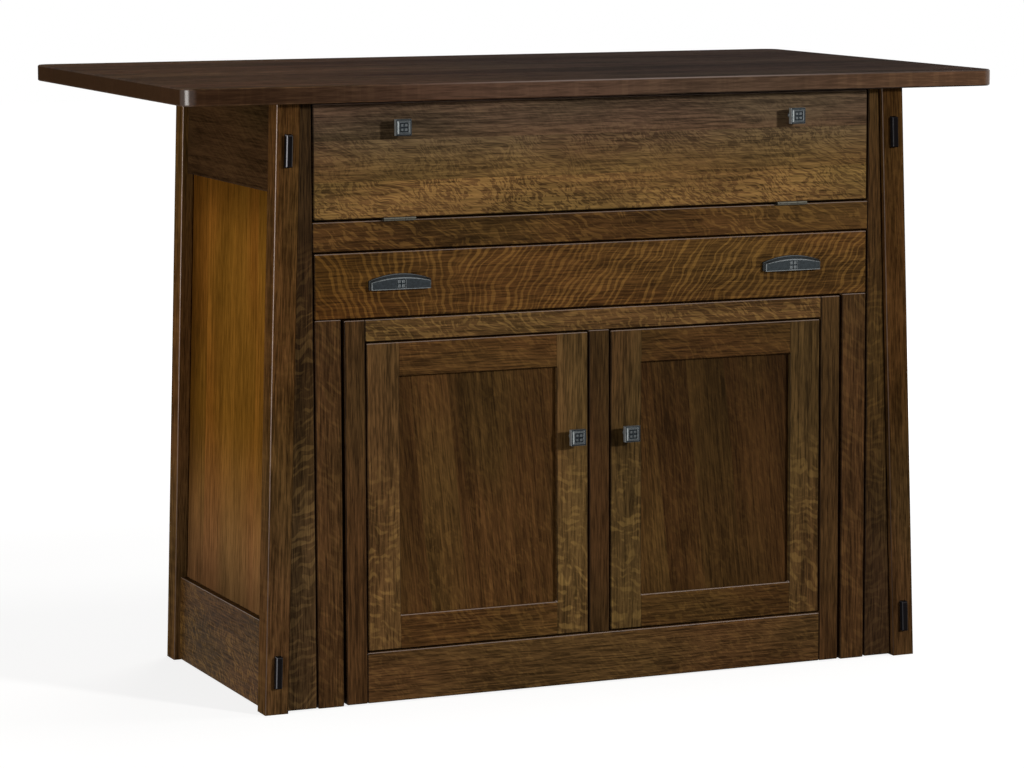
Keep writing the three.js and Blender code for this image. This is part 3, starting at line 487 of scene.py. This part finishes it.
DOOR_MEMBER = 50.5 * MM
JOINT_WIDTH = 0.6 * MM
BETWEEN_RAILS = 0.3
RAIL_SEED = 1.7
TOP_RAIL_CHANGE, RIGHT_HALF_CHANGE, JOINT_CHANGE = -0.06, -0.04, -0.35
DOOR_SEED_STEP = 9.0
DOOR_STILE = dict(clouds=1.2, fleck=0.75, spacing=13 * MM, length=18 * MM, slope=0.2, even=0.3,
                  wave=2.2, ends=(0.42, 0.25))
DOOR_RAIL = dict(fleck=0.4, spacing=9 * MM, length=14 * MM, slope=0.9, even=0.15, wave=2.0)
PANEL_SEAMS = (0.33, 0.5, 0.68)
PANEL_TONES = ((0.98, 1.20, 1.06, 1.0), (1.42, 0.95, 0.90, 0.86))


def door_frame(node, stile_stain, rail_stain, seed):
    """A glued door frame: upright stiles at both sides, rails between them, dark joint lines."""
    t = material_tree(f"{node}_oak")
    low, high = (corner.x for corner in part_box(node))
    x, _, z = t.place()
    left_joint, right_joint = low + DOOR_MEMBER, high - DOOR_MEMBER
    inside = t.times(t.above(x, left_joint), t.below(x, right_joint))
    joint = t.total(near_line(t, x, left_joint, JOINT_WIDTH),
                    near_line(t, x, right_joint, JOINT_WIDTH))
    stile = oak(t, "z", "y", stile_stain, seed, **DOOR_STILE)
    rail = oak(t, "x", "y", rail_stain, seed + RAIL_SEED, **DOOR_RAIL)
    level = t.total(1.0, t.times(t.times(inside, t.above(z, BETWEEN_RAILS)), TOP_RAIL_CHANGE),
                    t.times(t.above(x, (low + high) / 2), RIGHT_HALF_CHANGE),
                    t.times(joint, JOINT_CHANGE))
    colour = t.tinted(t.mix(inside, stile[0], rail[0]), level)
    dress(node, finish_wood(
        t, colour, t.blend(inside, stile[1], rail[1]), t.blend(inside, stile[2], rail[2])))


def dress_doors():
    for number, side in enumerate(SIDES):
        later = DOOR_SEED_STEP * number
        frame_node = f"{side}_door_frame"
        door_frame(frame_node, shade(GOLD, (0.88, 0.64)[number]),
                   shade(BROWN, (0.88, 0.69)[number]), seed=47.1 + later)
        low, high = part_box(frame_node)
        dress_oak(f"{side}_door_panel", "z", "y", shade(BROWN, (0.70, 0.56)[number]),
                  seed=53.9 + later, contrast=0.75, clouds=1.2, rings=1.3, lean=0.10,
                  seams=seams_at(low.x, high.x, PANEL_SEAMS), tones=PANEL_TONES[number],
                  fade=(0.13, 0.48, 1.12, 0.86), fleck=0.25, spacing=12 * MM, length=9 * MM,
                  slope=1.1, even=0.1, wave=2.0)


# ------------------------------------------------------------------ sides

POST_LEAN = 0.032
POST_FADE = (0.2, 0.45, (1.00, 1.06, 1.30), 0.92)
RAIL_GRAIN = {
    "top": dict(contrast=0.6, fleck=0.3, spacing=9 * MM, length=26 * MM, middle=0.80, slope=-2.2,
                even=0.5, wave=1.0),
    "bottom": dict(contrast=0.9, fleck=1.0, spacing=9 * MM, length=12 * MM, middle=0.07,
                   slope=-0.8, even=0.4, wave=3.2, cover=0.02),
}
RAIL_SPECULAR = {"top": 0.0, "bottom": 0.01}
RAIL_COAT = 0.4

# The tenons' ends, which stand proud of the front posts, and the painted highlight on their left
# arrises, each to its own brightness.
PLUG = (0.0055, 0.0048, 0.0052)
PLUG_PAINTED_HIGHLIGHT = (0.36, 0.355, 0.39)
PLUG_PROUD = 0.2 * MM
FACES_LEFT = (0.2, 0.6)
PLUG_SHINE = {("left", "top"): 1.0, ("left", "bottom"): 0.4}
DULL_PLUG = 0.1

SIDE_SEAMS = (0.24, 0.5, 0.8)
SIDE_TONES = (1.05, 0.95, 1.05, 0.90)
SIDE_FADE = (0.12, 0.42, (1.32, 1.55, 3.2), (1.04, 1.0, 0.72))

# The panel's tone right beside the frame, a painted shade in the recess, and how far from the frame
# that shade clears across and up.
SIDE_SHADE = 0.52
SHADE_ACROSS, SHADE_UP = (0.0, 90 * MM), (0.0, 110 * MM)


def dress_sides():
    for number, side in enumerate(SIDES):
        later = SEED_STEP * number
        # The posts' left arrises carry a painted highlight with the rubbing, fading towards the floor,
        # stronger on the left posts than on the right.
        front_tone, coat, paleness = ((0.94, 0.35, 1.0), (0.66, 0.10, 0.35))[number]
        for end, seed, tone in (("front", 61.7, front_tone), ("back", 67.1, 1.0)):
            dress_oak(f"{end}_{side}_post", "z", "y", shade(BROWN, tone), seed=seed + later,
                      lean=(-POST_LEAN, POST_LEAN)[number], clouds=1.1, fade=POST_FADE,
                      fleck=0.15, spacing=15 * MM, length=14 * MM, slope=0.5, even=0.2, wave=2.0,
                      specular=0.0, coat=coat, rub=(-0.6, 0.0), worn=shade(POLISHED_AND_HIGHLIT, paleness),
                      toward=-1, rise=(0.10, 0.60))
        side_rail(side, "top", shade(UMBER, 0.61), seed=71.3 + later)
        side_rail(side, "bottom", shade(BROWN, 0.66), seed=73.9 + later)
        side_panel(f"{side}_side_panel", seed=79.1 + later)


def side_rail(side, level, stain, seed):
    """A side rail, with its through tenon's end as dark as end grain is, and a painted highlight on
    that end's left arris.
    """
    t = material_tree(f"{side}_side_{level}_rail_oak")
    colour, gloss, height = oak(t, "y", "x", stain, seed, clouds=1.0, **RAIL_GRAIN[level])
    plug = t.below(t.place()[1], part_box("front_left_post")[0].y - PLUG_PROUD)
    shine = PLUG_SHINE.get((side, level), DULL_PLUG)
    # Only the plug's left arris gets the painted highlight.
    to_the_left = t.step(t.times(turned(t)[0][0], -1.0), *FACES_LEFT)
    bright = t.mix(to_the_left, PLUG, shade(PLUG_PAINTED_HIGHLIGHT, shine))
    dress(f"{side}_side_{level}_rail", finish_wood(
        t, t.mix(plug, colour, PLUG), gloss, height, specular=RAIL_SPECULAR[level],
        coat=t.blend(plug, RAIL_COAT, shine), rub=(-0.6, -0.1), worn=t.mix(plug, WORN_AND_HIGHLIT, bright)))


def side_panel(node, seed):
    """A flat panel of four staves, darkened along the frame with painted shade."""
    t = material_tree(f"{node}_oak")
    low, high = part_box(node)
    colour, gloss, height = oak(
        t, "z", "x", AMBER, seed, clouds=0.9, rings=0.8, contrast=0.5,
        seams=seams_at(low.y, high.y, SIDE_SEAMS), tones=SIDE_TONES, fade=SIDE_FADE)
    _, y, z = t.place()
    # Painted shade along the frame, where the panel sits in its recess.
    inset = t.math("MINIMUM", t.less(y, low.y), t.less(high.y, y))
    fall = t.math("MINIMUM", t.less(z, low.z), t.less(high.z, z))
    open_area = t.times(t.step(inset, *SHADE_ACROSS), t.step(fall, *SHADE_UP))
    colour = t.tinted(colour, t.scaled(open_area, SIDE_SHADE, 1.0))
    dress(node, finish_wood(t, colour, gloss, height, specular=0.0))


# ------------------------------------------------------------------ back

BACK_BOARDS, BACK_SWING, BACK_BEAT = 8, 0.10, 2.4


def dress_back():
    dress_oak("back_top_rail", "x", "y", shade(BROWN, 0.85), seed=83.3, fleck=0.6,
              spacing=10 * MM, length=60 * MM, middle=0.85, slope=-0.6, even=0.6)
    dress_oak("back_bottom_rail", "x", "y", shade(BROWN, 0.85), seed=87.7, fleck=0.6,
              spacing=12 * MM, length=40 * MM, middle=0.07, slope=0.6, even=0.5)
    low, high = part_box("back_panel")
    tones = [1.0 + BACK_SWING * math.sin(BACK_BEAT * number) for number in range(BACK_BOARDS)]
    dress_oak("back_panel", "z", "y", shade(BROWN, 0.9), seed=89.1, clouds=1.1,
              seams=seams_at(low.x, high.x, even_shares(BACK_BOARDS)), tones=tones)


# ------------------------------------------------------------------ worktop and leaves

TOP_BOARDS, TOP_SWING, TOP_BEAT, TOP_START = 7, 0.22, 2.1, 1.0

# From left to right, as (from, to, tone at from, tone at to): the top, whose browner left and greyer
# right are a painted sheen, the edge, and what the edge is multiplied by towards its right end.
TOP_PAINTED_SHEEN = (-0.60, 0.20, (1.80, 1.65, 1.35), (0.76, 0.85, 0.98))
ON_EDGE = (-0.60, -0.10, (0.95, 0.82, 0.68), (1.80, 1.92, 2.05))
EDGE_RIGHT = (0.25, 0.57, 1.0, (1.5, 1.4, 1.2))
EDGE_PLAINNESS = 0.5
SLAB_END, END_SHARE = (0.033, 0.0163, 0.0075), 0.7
SLAB_ARRIS = (0.135, 0.099, 0.082)

# How far the surface faces a way where a zone of the worktop begins and where it is full.
LEVEL, ENDWAYS, CORNERWAYS = (0.2, 0.6), (0.6, 0.9), (0.15, 0.45)
SLIGHTLY_UP, TO_THE_FRONT = (0.1, 0.4), (0.15, 0.4)

# Where the front arris is pale, rubbing and a painted highlight line in one: it comes in, then goes
# down to what is left.
ARRIS_LINE_COMES, ARRIS_LINE_GOES, ARRIS_LINE_LEFT = (-0.45, 0.0), (0.15, 0.50), 0.3
CORNER_WAX, EDGE_WAX, ARRIS_WAX = 0.6, 0.06, 0.4
SLAB_SPECULAR, SLAB_DULLNESS = 0.0003, 0.08
SLAB_RELIEF = dict(depth=0.10 * MM, strength=0.3)


def dress_top():
    """The worktop of seven boards: tones on the top, with a painted sheen, and on the edge, a front
    arris paled by rubbing and a painted highlight, wax.
    """
    t = material_tree("top_slab_oak")
    low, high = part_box("top_slab")
    tones = [1.0 + TOP_SWING * math.sin(TOP_BEAT * number + TOP_START)
             for number in range(TOP_BOARDS)]
    colour, gloss, height = oak(
        t, "x", "z", SMOKED, seed=97.3, clouds=1.2, rings=2.0, tones=tones,
        seams=seams_at(low.y, high.y, even_shares(TOP_BOARDS)),
        fleck=0.24, spacing=13 * MM, length=18 * MM, slope=0.9, even=0.1, wave=2.6)
    normal, sizes, edge = turned(t)
    x = t.place()[0]
    on_edge = t.tinted(t.gradient(x, *ON_EDGE), t.gradient(x, *EDGE_RIGHT))
    level = t.step(sizes[2], *LEVEL)
    colour = t.mix(t.scaled(level, EDGE_PLAINNESS, 0.0), colour, SMOKED)
    # The top's tone across its length is a painted sheen.
    colour = t.tinted(colour, t.mix(level, on_edge, t.gradient(x, *TOP_PAINTED_SHEEN)))
    colour = t.mix(t.times(t.step(sizes[0], *ENDWAYS), END_SHARE), colour, SLAB_END)
    facing = t.step(t.times(normal[1], -1.0), *TO_THE_FRONT)
    # A painted highlight line, with rubbing, along part of the front arris.
    rubbed_and_painted_light = t.times(t.times(edge, t.step(normal[2], *SLIGHTLY_UP)), facing)
    going = t.blend(t.step(x, *ARRIS_LINE_GOES), 1.0, ARRIS_LINE_LEFT)
    rubbed_and_painted_light = t.times(rubbed_and_painted_light, t.times(t.step(x, *ARRIS_LINE_COMES), going))
    corner = t.step(t.math("MINIMUM", sizes[0], sizes[1]), *CORNERWAYS)
    wax = t.most(t.times(corner, CORNER_WAX), t.times(edge, EDGE_WAX), t.times(rubbed_and_painted_light, ARRIS_WAX))
    dress("top_slab", t.surface(
        t.mix(rubbed_and_painted_light, colour, SLAB_ARRIS), t.total(gloss, SLAB_DULLNESS), height, coat=wax,
        Specular_IOR_Level=SLAB_SPECULAR, Coat_Roughness=WAX_ROUGHNESS, **SLAB_RELIEF))
    for number in (1, 2):
        dress_oak(f"table_leaf_{number}", "x", "z", shade(SMOKED, 1.2),
                  seed=101.0 + SEED_STEP * number, fleck=0.3, spacing=14 * MM, length=20 * MM,
                  slope=0.8, even=0.15, wave=2.4)


# ------------------------------------------------------------------ inside

INSIDE = {
    "leaf_bay_floor": "xz",
    "cupboard_top": "xz",
    "cupboard_bottom": "xz",
    "cupboard_shelf": "xz",
    "left_inner_side": "yx",
    "right_inner_side": "yx",
    "left_partition": "zx",
    "right_partition": "zx",
    "left_slide_fixed": "yx",
    "left_slide_middle": "yx",
    "left_slide_table": "yx",
    "right_slide_fixed": "yx",
    "right_slide_middle": "yx",
    "right_slide_table": "yx",
}
INSIDE_SEED = 111.0


def dress_inside():
    """Bare oak. The two letters in INSIDE are the axes of the fibres and of the face."""
    for number, (node, (run, face)) in enumerate(INSIDE.items()):
        dress_oak(node, run, face, RAW, seed=INSIDE_SEED + SEED_STEP * number, contrast=0.55,
                  clouds=0.8)


# ------------------------------------------------------------------ metal

# On the slate of knobs and pulls, the pale colour where rubbing shows also stands for painted
# highlight.
SLATE, RUBBED_AND_HIGHLIT_SLATE = (0.0062, 0.0085, 0.0102), (0.40, 0.43, 0.44)
BRONZE, RUBBED_BRONZE = (0.024, 0.023, 0.018), (0.125, 0.120, 0.100)
DARK_STEEL, PALE_STEEL = (0.36, 0.37, 0.38), (0.56, 0.57, 0.58)
METAL_GLOSS, STEEL_GLOSS = (0.40, 0.58), (0.26, 0.42)
METAL_RELIEF = dict(depth=0.10 * MM, strength=0.4)
STEEL_RELIEF = dict(depth=0.05 * MM, strength=0.3)

# Mottles and brush marks to the metre, and how mottles change the tone and the wear.
MOTTLE_SCALE, BRUSH_SCALE = 260.0, (900.0, 90.0, 900.0)
MOTTLE_EDGES, MOTTLE_TONES, MOTTLE_WEAR = (0.3, 0.7), (0.7, 1.35), (0.55, 1.25)

# Knobs and pulls carry four raised squares. These are measured from the middle of the four.
SQUARE_IN, SQUARE_OUT = 1.15 * MM, 5.35 * MM
RECESS, TABLET = 7.0 * MM, 9.9 * MM

# A pull's hood is this deep, its squares are this high on it, and its lip and foot this broad.
HOOD_DEEP, PLATE_MIDDLE = 5.0 * MM, 8.1 * MM
RIM_WIDTH, LIP_WIDTH = 0.8 * MM, 1.0 * MM

# How far the surface faces a way where a flat zone of a knob or pull begins and where it is full.
KNOB_FRONT, KNOB_FLANK, PULL_PLATE = (0.85, 0.95), (0.80, 0.95), (0.93, 0.99)

# How pale each zone gets: the knob's flanks, top and bottom are painted highlight, its edges, border
# and squares rubbing; the pull's lines are rubbing and painted highlight in one.
KNOB_WEAR_AND_HIGHLIGHT = dict(flank=0.90, top=0.35, edge=0.40, border=0.05, squares=0.10)
PULL_WEAR_AND_HIGHLIGHT = dict(lip=0.42, rim=0.26, foot=0.22, squares=0.13, hood=0.05, plate=0.02)


def aged_metal(t, worn, dark=SLATE, rubbed_and_painted_light=RUBBED_AND_HIGHLIT_SLATE):
    """Dark mottled metal, made pale by the given amount, 0 to 1: rubbing, and on knobs and pulls a
    painted highlight too.
    """
    scaled = t.node("ShaderNodeVectorMath", operation="SCALE")
    t.feed(scaled.inputs[0], t.coordinate("Object"))
    scaled.inputs["Scale"].default_value = MOTTLE_SCALE
    mottle = t.noise(scaled.outputs[0], detail=3.0, rough=0.6)
    colour = t.mix(t.step(mottle, *MOTTLE_EDGES), *(shade(dark, tone) for tone in MOTTLE_TONES))
    colour = t.mix(t.times(worn, t.scaled(mottle, *MOTTLE_WEAR)), colour, rubbed_and_painted_light)
    return t.surface(colour, t.scaled(mottle, *METAL_GLOSS), mottle, Metallic=0.9,
                     Specular_IOR_Level=0.25, **METAL_RELIEF)


def strongest(t, paleness, **places):
    """The largest paleness, from rubbing and painted highlight, at several places. A place is 1 where
    it is and 0 elsewhere.
    """
    return t.most(*(t.times(place, paleness[name]) for name, place in places.items()))


def four_squares(t, x, z, centre_x, centre_z):
    """1 on the four raised squares, and how far a point is from the middle, measured squarely."""
    right, up = t.distance(x, centre_x), t.distance(z, centre_z)
    radius = t.most(right, up)
    inner = t.above(t.math("MINIMUM", right, up), SQUARE_IN)
    return t.times(inner, t.below(radius, SQUARE_OUT)), radius


def knob_metal(node):
    """Painted highlight on the block's flanks, top and bottom, pale from rubbing on its edges, the
    squares and the tablet's border, dark in the sunken field.
    """
    t = material_tree(f"{node}_metal")
    x, _, z = t.place()
    _, sizes, edge = turned(t)
    squares, radius = four_squares(t, x, z, middle(node, 0), middle(node, 2))
    front = t.step(sizes[1], *KNOB_FRONT)
    outside = t.lacking(t.below(radius, RECESS))
    return aged_metal(t, strongest(
        t, KNOB_WEAR_AND_HIGHLIGHT, flank=t.step(sizes[0], *KNOB_FLANK), top=t.step(sizes[2], *KNOB_FLANK),
        edge=t.times(edge, outside), squares=t.times(squares, front),
        border=t.times(t.times(outside, t.below(radius, TABLET)), front)))


def pull_metal(node):
    """Pale where the hood meets the plate and the rim, and on the plate's lower edge: rubbing and
    painted highlight in one.
    """
    t = material_tree(f"{node}_metal")
    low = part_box(node)[0]
    x, y, z = t.place()
    squares, radius = four_squares(t, x, z, middle(node, 0), low.z + PLATE_MIDDLE)
    plate = t.step(turned(t)[1][1], *PULL_PLATE)
    hood = t.lacking(plate)
    depth = t.less(y, low.y)
    return aged_metal(t, strongest(
        t, PULL_WEAR_AND_HIGHLIGHT, hood=hood, lip=t.times(hood, t.below(depth, LIP_WIDTH)),
        rim=near_line(t, depth, HOOD_DEEP, RIM_WIDTH), squares=t.times(squares, plate),
        foot=t.times(plate, t.below(z, low.z + LIP_WIDTH)),
        plate=t.less(plate, t.times(plate, t.below(radius, RECESS)))))


def hinge_metal():
    t = material_tree("hinge_metal")
    return aged_metal(t, turned(t)[2], BRONZE, RUBBED_BRONZE)


def plain_steel():
    """Zinc-plated steel of the hidden hinge arms."""
    t = material_tree("hinge_steel")
    brush = t.noise(t.combine(*(t.times(a, b) for a, b in zip(t.place(), BRUSH_SCALE))), detail=2.0)
    return t.surface(t.mix(brush, DARK_STEEL, PALE_STEEL), t.scaled(brush, *STEEL_GLOSS), brush,
                     Metallic=1.0, **STEEL_RELIEF)


def dress_metal():
    hinge, steel = hinge_metal(), plain_steel()
    for node in nodes:
        if node.endswith("hinge_arm"):
            dress(node, steel)
        elif node.endswith("leaf"):
            dress(node, hinge)
        elif node.endswith("knob"):
            dress(node, knob_metal(node))
        elif node.endswith("pull"):
            dress(node, pull_metal(node))


# ------------------------------------------------------------------ eased edges

# The width of the rounding in millimetres, by a word in the node's name. The first match counts.
EASE = {"post": 2.0, "slab": 1.4, "board": 2.0, "rail": 1.8, "stile": 1.8, "frame": 1.8, "leg": 1.8,
        "apron": 2.0, "panel": 0.6, "leaf_1": 1.0, "leaf_2": 1.0, "mullion": 1.6, "knob": 0.45,
        "pull": 0.5}
PLAIN_EASE = 0.4
EASE_SEGMENTS = 3
WELD_DISTANCE = 0.01 * MM
FLAT_ANGLE, SHARP_ANGLE, CREASE_ANGLE = (math.radians(angle) for angle in (0.5, 35.0, 50.0))
LONG_EDGE, SHORT_EDGE_SHARE = 60 * MM, 0.25


def geometry_group(name, build):
    """A geometry nodes group, made once. build takes the geometry in and gives it back."""
    if name in bpy.data.node_groups:
        return bpy.data.node_groups[name]
    group = bpy.data.node_groups.new(name, "GeometryNodeTree")
    for way in ("INPUT", "OUTPUT"):
        group.interface.new_socket("Geometry", in_out=way, socket_type="NodeSocketGeometry")
    source = add(group, "NodeGroupInput")
    result = add(group, "NodeGroupOutput")
    group.links.new(build(group, source.outputs[0]), result.inputs[0])
    return group


def weigh_arrises(group, geometry):
    """Bevel weights that round a post's long arrises in full, and its mortises only a little."""
    link = group.links.new
    ends = add(group, "GeometryNodeInputMeshEdgeVertices")
    span = add(group, "ShaderNodeVectorMath", operation="DISTANCE")
    link(ends.outputs["Position 1"], span.inputs[0])
    link(ends.outputs["Position 2"], span.inputs[1])
    long = add(group, "ShaderNodeMath", operation="GREATER_THAN")
    link(span.outputs["Value"], long.inputs[0])
    long.inputs[1].default_value = LONG_EDGE
    share = add(group, "ShaderNodeMapRange")
    link(long.outputs[0], share.inputs["Value"])
    share.inputs["To Min"].default_value = SHORT_EDGE_SHARE
    angle = add(group, "GeometryNodeInputMeshEdgeAngle")
    sharp = add(group, "ShaderNodeMath", operation="GREATER_THAN")
    link(angle.outputs["Unsigned Angle"], sharp.inputs[0])
    sharp.inputs[1].default_value = SHARP_ANGLE
    weight = add(group, "ShaderNodeMath", operation="MULTIPLY")
    link(share.outputs["Result"], weight.inputs[0])
    link(sharp.outputs[0], weight.inputs[1])
    store = add(group, "GeometryNodeStoreNamedAttribute", data_type="FLOAT", domain="EDGE")
    store.inputs["Name"].default_value = "bevel_weight_edge"
    link(geometry, store.inputs["Geometry"])
    link(weight.outputs[0], store.inputs["Value"])
    return store.outputs[0]


def smooth_by_angle(group, geometry):
    """Shades faces smooth and keeps edges over the crease angle sharp."""
    link = group.links.new
    faces = add(group, "GeometryNodeSetShadeSmooth")
    link(geometry, faces.inputs["Geometry"])
    angle = add(group, "GeometryNodeInputMeshEdgeAngle")
    wide = add(group, "FunctionNodeCompare", data_type="FLOAT", operation="GREATER_THAN")
    link(angle.outputs["Unsigned Angle"], wide.inputs["A"])
    wide.inputs["B"].default_value = CREASE_ANGLE
    edges = add(group, "GeometryNodeSetShadeSmooth", domain="EDGE")
    link(faces.outputs[0], edges.inputs["Geometry"])
    link(wide.outputs[0], edges.inputs["Selection"])
    edges.inputs["Shade Smooth"].default_value = False
    return edges.outputs[0]


def modifier(piece, name, kind, **settings):
    made = piece.modifiers.new(name, kind)
    for key, value in settings.items():
        setattr(made, key, value)


def ease(node):
    """Rounds a piece's sharp edges, and shades what is left of its flat faces flat."""
    piece = nodes[node]
    width = next((size for word, size in EASE.items() if word in node), PLAIN_EASE)
    modifier(piece, "weld", "WELD", merge_threshold=WELD_DISTANCE)
    modifier(piece, "flat_faces", "DECIMATE", decimate_type="DISSOLVE", angle_limit=FLAT_ANGLE)
    if "post" in node:
        modifier(piece, "edge_weights", "NODES",
                 node_group=geometry_group("long_arrises", weigh_arrises))
        limit = dict(limit_method="WEIGHT", use_clamp_overlap=False, loop_slide=False)
    else:
        limit = dict(limit_method="ANGLE", use_clamp_overlap=True)
    modifier(piece, "eased_edges", "BEVEL", width=width * MM, segments=EASE_SEGMENTS,
             angle_limit=SHARP_ANGLE, harden_normals=False, **limit)
    modifier(piece, "smooth", "NODES",
             node_group=geometry_group("smooth_by_angle", smooth_by_angle))
    modifier(piece, "flat_shading", "WEIGHTED_NORMAL", mode="FACE_AREA", weight=100,
             keep_sharp=True)


# ------------------------------------------------------------------ camera

PHOTO_WIDTH, PHOTO_HEIGHT = 1024, 768
FOCAL_PIXELS = 3786.379
VIEW_CENTRE = (620.0, 345.0)
CAMERA_YAW = 24.3693
CAMERA_PITCH = 7.1201
CAMERA_ROLL = -0.0063
CAMERA_PLACE = (-2.290187, -5.478774, 1.216562)
CAMERA_REACH = 200.0
SENSOR = 36.0


def photo_camera():
    """The camera that was fitted to the photograph. Yaw turns it from +Y towards +X."""
    lens = bpy.data.cameras.new("photo_camera")
    camera = bpy.data.objects.new("photo_camera", lens)
    bpy.context.scene.collection.objects.link(camera)
    lens.sensor_width = SENSOR
    lens.lens = FOCAL_PIXELS / PHOTO_WIDTH * SENSOR
    lens.shift_x = (PHOTO_WIDTH / 2 - VIEW_CENTRE[0]) / PHOTO_WIDTH
    lens.shift_y = (VIEW_CENTRE[1] - PHOTO_HEIGHT / 2) / PHOTO_WIDTH
    lens.clip_end = CAMERA_REACH
    yaw, pitch, roll = (math.radians(a) for a in (CAMERA_YAW, CAMERA_PITCH, CAMERA_ROLL))
    ahead = Vector((math.sin(yaw) * math.cos(pitch), math.cos(yaw) * math.cos(pitch),
                    -math.sin(pitch)))
    level = Vector((math.cos(yaw), -math.sin(yaw), 0.0))
    upright = level.cross(ahead)
    right = level * math.cos(roll) + upright * math.sin(roll)
    up = upright * math.cos(roll) - level * math.sin(roll)
    turn = Matrix((right, up, -ahead)).transposed()
    camera.matrix_world = Matrix.Translation(CAMERA_PLACE) @ turn.to_4x4()
    bpy.context.scene.camera = camera


# ------------------------------------------------------------------ studio

LIT_POINT = Vector((0.0, -0.1, 0.45))
LAMPS = {
    "key": dict(towards=(0.47, -0.84, 0.28), far=6.0, size=0.5, level=0.74,
                colour=(1.0, 0.98, 0.95)),
    "side": dict(towards=(-0.91, -0.30, 0.06), far=4.5, size=1.6, level=0.70,
                 colour=(1.0, 0.98, 0.94)),
    "overhead": dict(towards=(0.35, -0.10, 0.90), far=3.2, size=0.9, level=0.25,
                     colour=(1.0, 0.99, 0.98), glossy=False),
    "behind": dict(towards=(0.55, 0.75, 0.40), far=4.0, size=2.4, level=0.50,
                   colour=(1.0, 0.98, 0.95), glossy=False),
}
AMBIENT = 0.13
WHITE = (1.0, 1.0, 1.0)

# The floor's own colour, and how far it glows for the camera so that it looks white: this much
# around the object, where its shadow falls, and 1 beyond the reach in metres.
FLOOR_COLOUR, FLOOR_GLOW = 0.30, 0.81
SHADOW_REACH = (1.1, 2.6)
FLOOR_HALF = 14.0

# How far in from the foot of the case its inside is dark: painted shade on the floor there.
CASE_INSET = 60 * MM


def lamp(name, towards, far, size, level, colour, glossy=True):
    """A square soft lamp. level is the brightness that it gives a white surface facing it."""
    data = bpy.data.lights.new(name, "AREA")
    data.shape = "SQUARE"
    data.size = size
    data.energy = level * math.pi ** 2 * far ** 2
    data.color = colour
    made = bpy.data.objects.new(name, data)
    made.visible_glossy = glossy
    direction = Vector(towards).normalized()
    made.location = LIT_POINT + direction * far
    made.rotation_mode = "QUATERNION"
    made.rotation_quaternion = direction.to_track_quat("Z", "Y")
    bpy.context.scene.collection.objects.link(made)


def seen_directly(t):
    """1 for camera, glossy and transmission rays, 0 for those that carry light."""
    path = t.node("ShaderNodeLightPath")
    rays = ("Is Camera Ray", "Is Glossy Ray", "Is Transmission Ray")
    return t.most(*(path.outputs[name] for name in rays))


def surroundings():
    """White where it is seen, and a faint even light on the object."""
    world = bpy.data.worlds.new("studio")
    bpy.context.scene.world = world
    t = Tree(world)
    sky = t.node("ShaderNodeBackground")
    t.feed(sky.inputs["Color"], WHITE)
    t.feed(sky.inputs["Strength"], t.scaled(seen_directly(t), AMBIENT, 1.0))
    t.feed(t.node("ShaderNodeOutputWorld").inputs[0], sky.outputs[0])


def outside_case(t):
    """1 on the open floor, falling to 0 inside the case: painted shade where no light reaches the
    floor.
    """
    low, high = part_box("front_left_post")[0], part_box("front_right_post")[1]
    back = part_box("back_left_post")[1].y + CASE_INSET
    x, y, _ = t.place()
    falls = []
    for value, first, last in ((x, low.x, high.x), (y, low.y, back)):
        half = (last - first) / 2
        from_middle = t.distance(value, (first + last) / 2)
        falls.append(t.step(from_middle, half - CASE_INSET, half - CASE_INSET / 2))
    return t.most(*falls)


def floor_material():
    """Pale and matt, with a glow where it is seen, so that the object's shadow darkens it, and a
    painted shade inside the case.
    """
    t = material_tree("pale_floor")
    away = t.node("ShaderNodeVectorMath", operation="LENGTH")
    t.feed(away.inputs[0], t.coordinate("Object"))
    brightness = t.blend(t.step(away.outputs["Value"], *SHADOW_REACH), FLOOR_GLOW, 1.0)
    lit = t.times(brightness, outside_case(t))
    matt = t.node("ShaderNodeBsdfDiffuse")
    t.feed(matt.inputs["Color"], three(FLOOR_COLOUR))
    glow = t.node("ShaderNodeEmission")
    t.feed(glow.inputs["Strength"], t.times(seen_directly(t), lit))
    both = t.node("ShaderNodeAddShader")
    t.feed(both.inputs[0], matt.outputs[0])
    t.feed(both.inputs[1], glow.outputs[0])
    t.feed(t.node("ShaderNodeOutputMaterial").inputs[0], both.outputs[0])
    return t.owner


def pale_floor():
    mesh = bpy.data.meshes.new("floor")
    signs = ((-1, -1), (1, -1), (1, 1), (-1, 1))
    mesh.from_pydata([(x * FLOOR_HALF, y * FLOOR_HALF, 0.0) for x, y in signs], [], [(0, 1, 2, 3)])
    mesh.materials.append(floor_material())
    floor = bpy.data.objects.new("floor", mesh)
    bpy.context.scene.collection.objects.link(floor)


photo_camera()
surroundings()
pale_floor()
for name, settings in LAMPS.items():
    lamp(name, **settings)
bpy.context.scene.view_settings.view_transform = "Standard"

dress_front()
dress_doors()
dress_sides()
dress_back()
dress_top()
dress_inside()
dress_metal()
for name in nodes:
    ease(name)
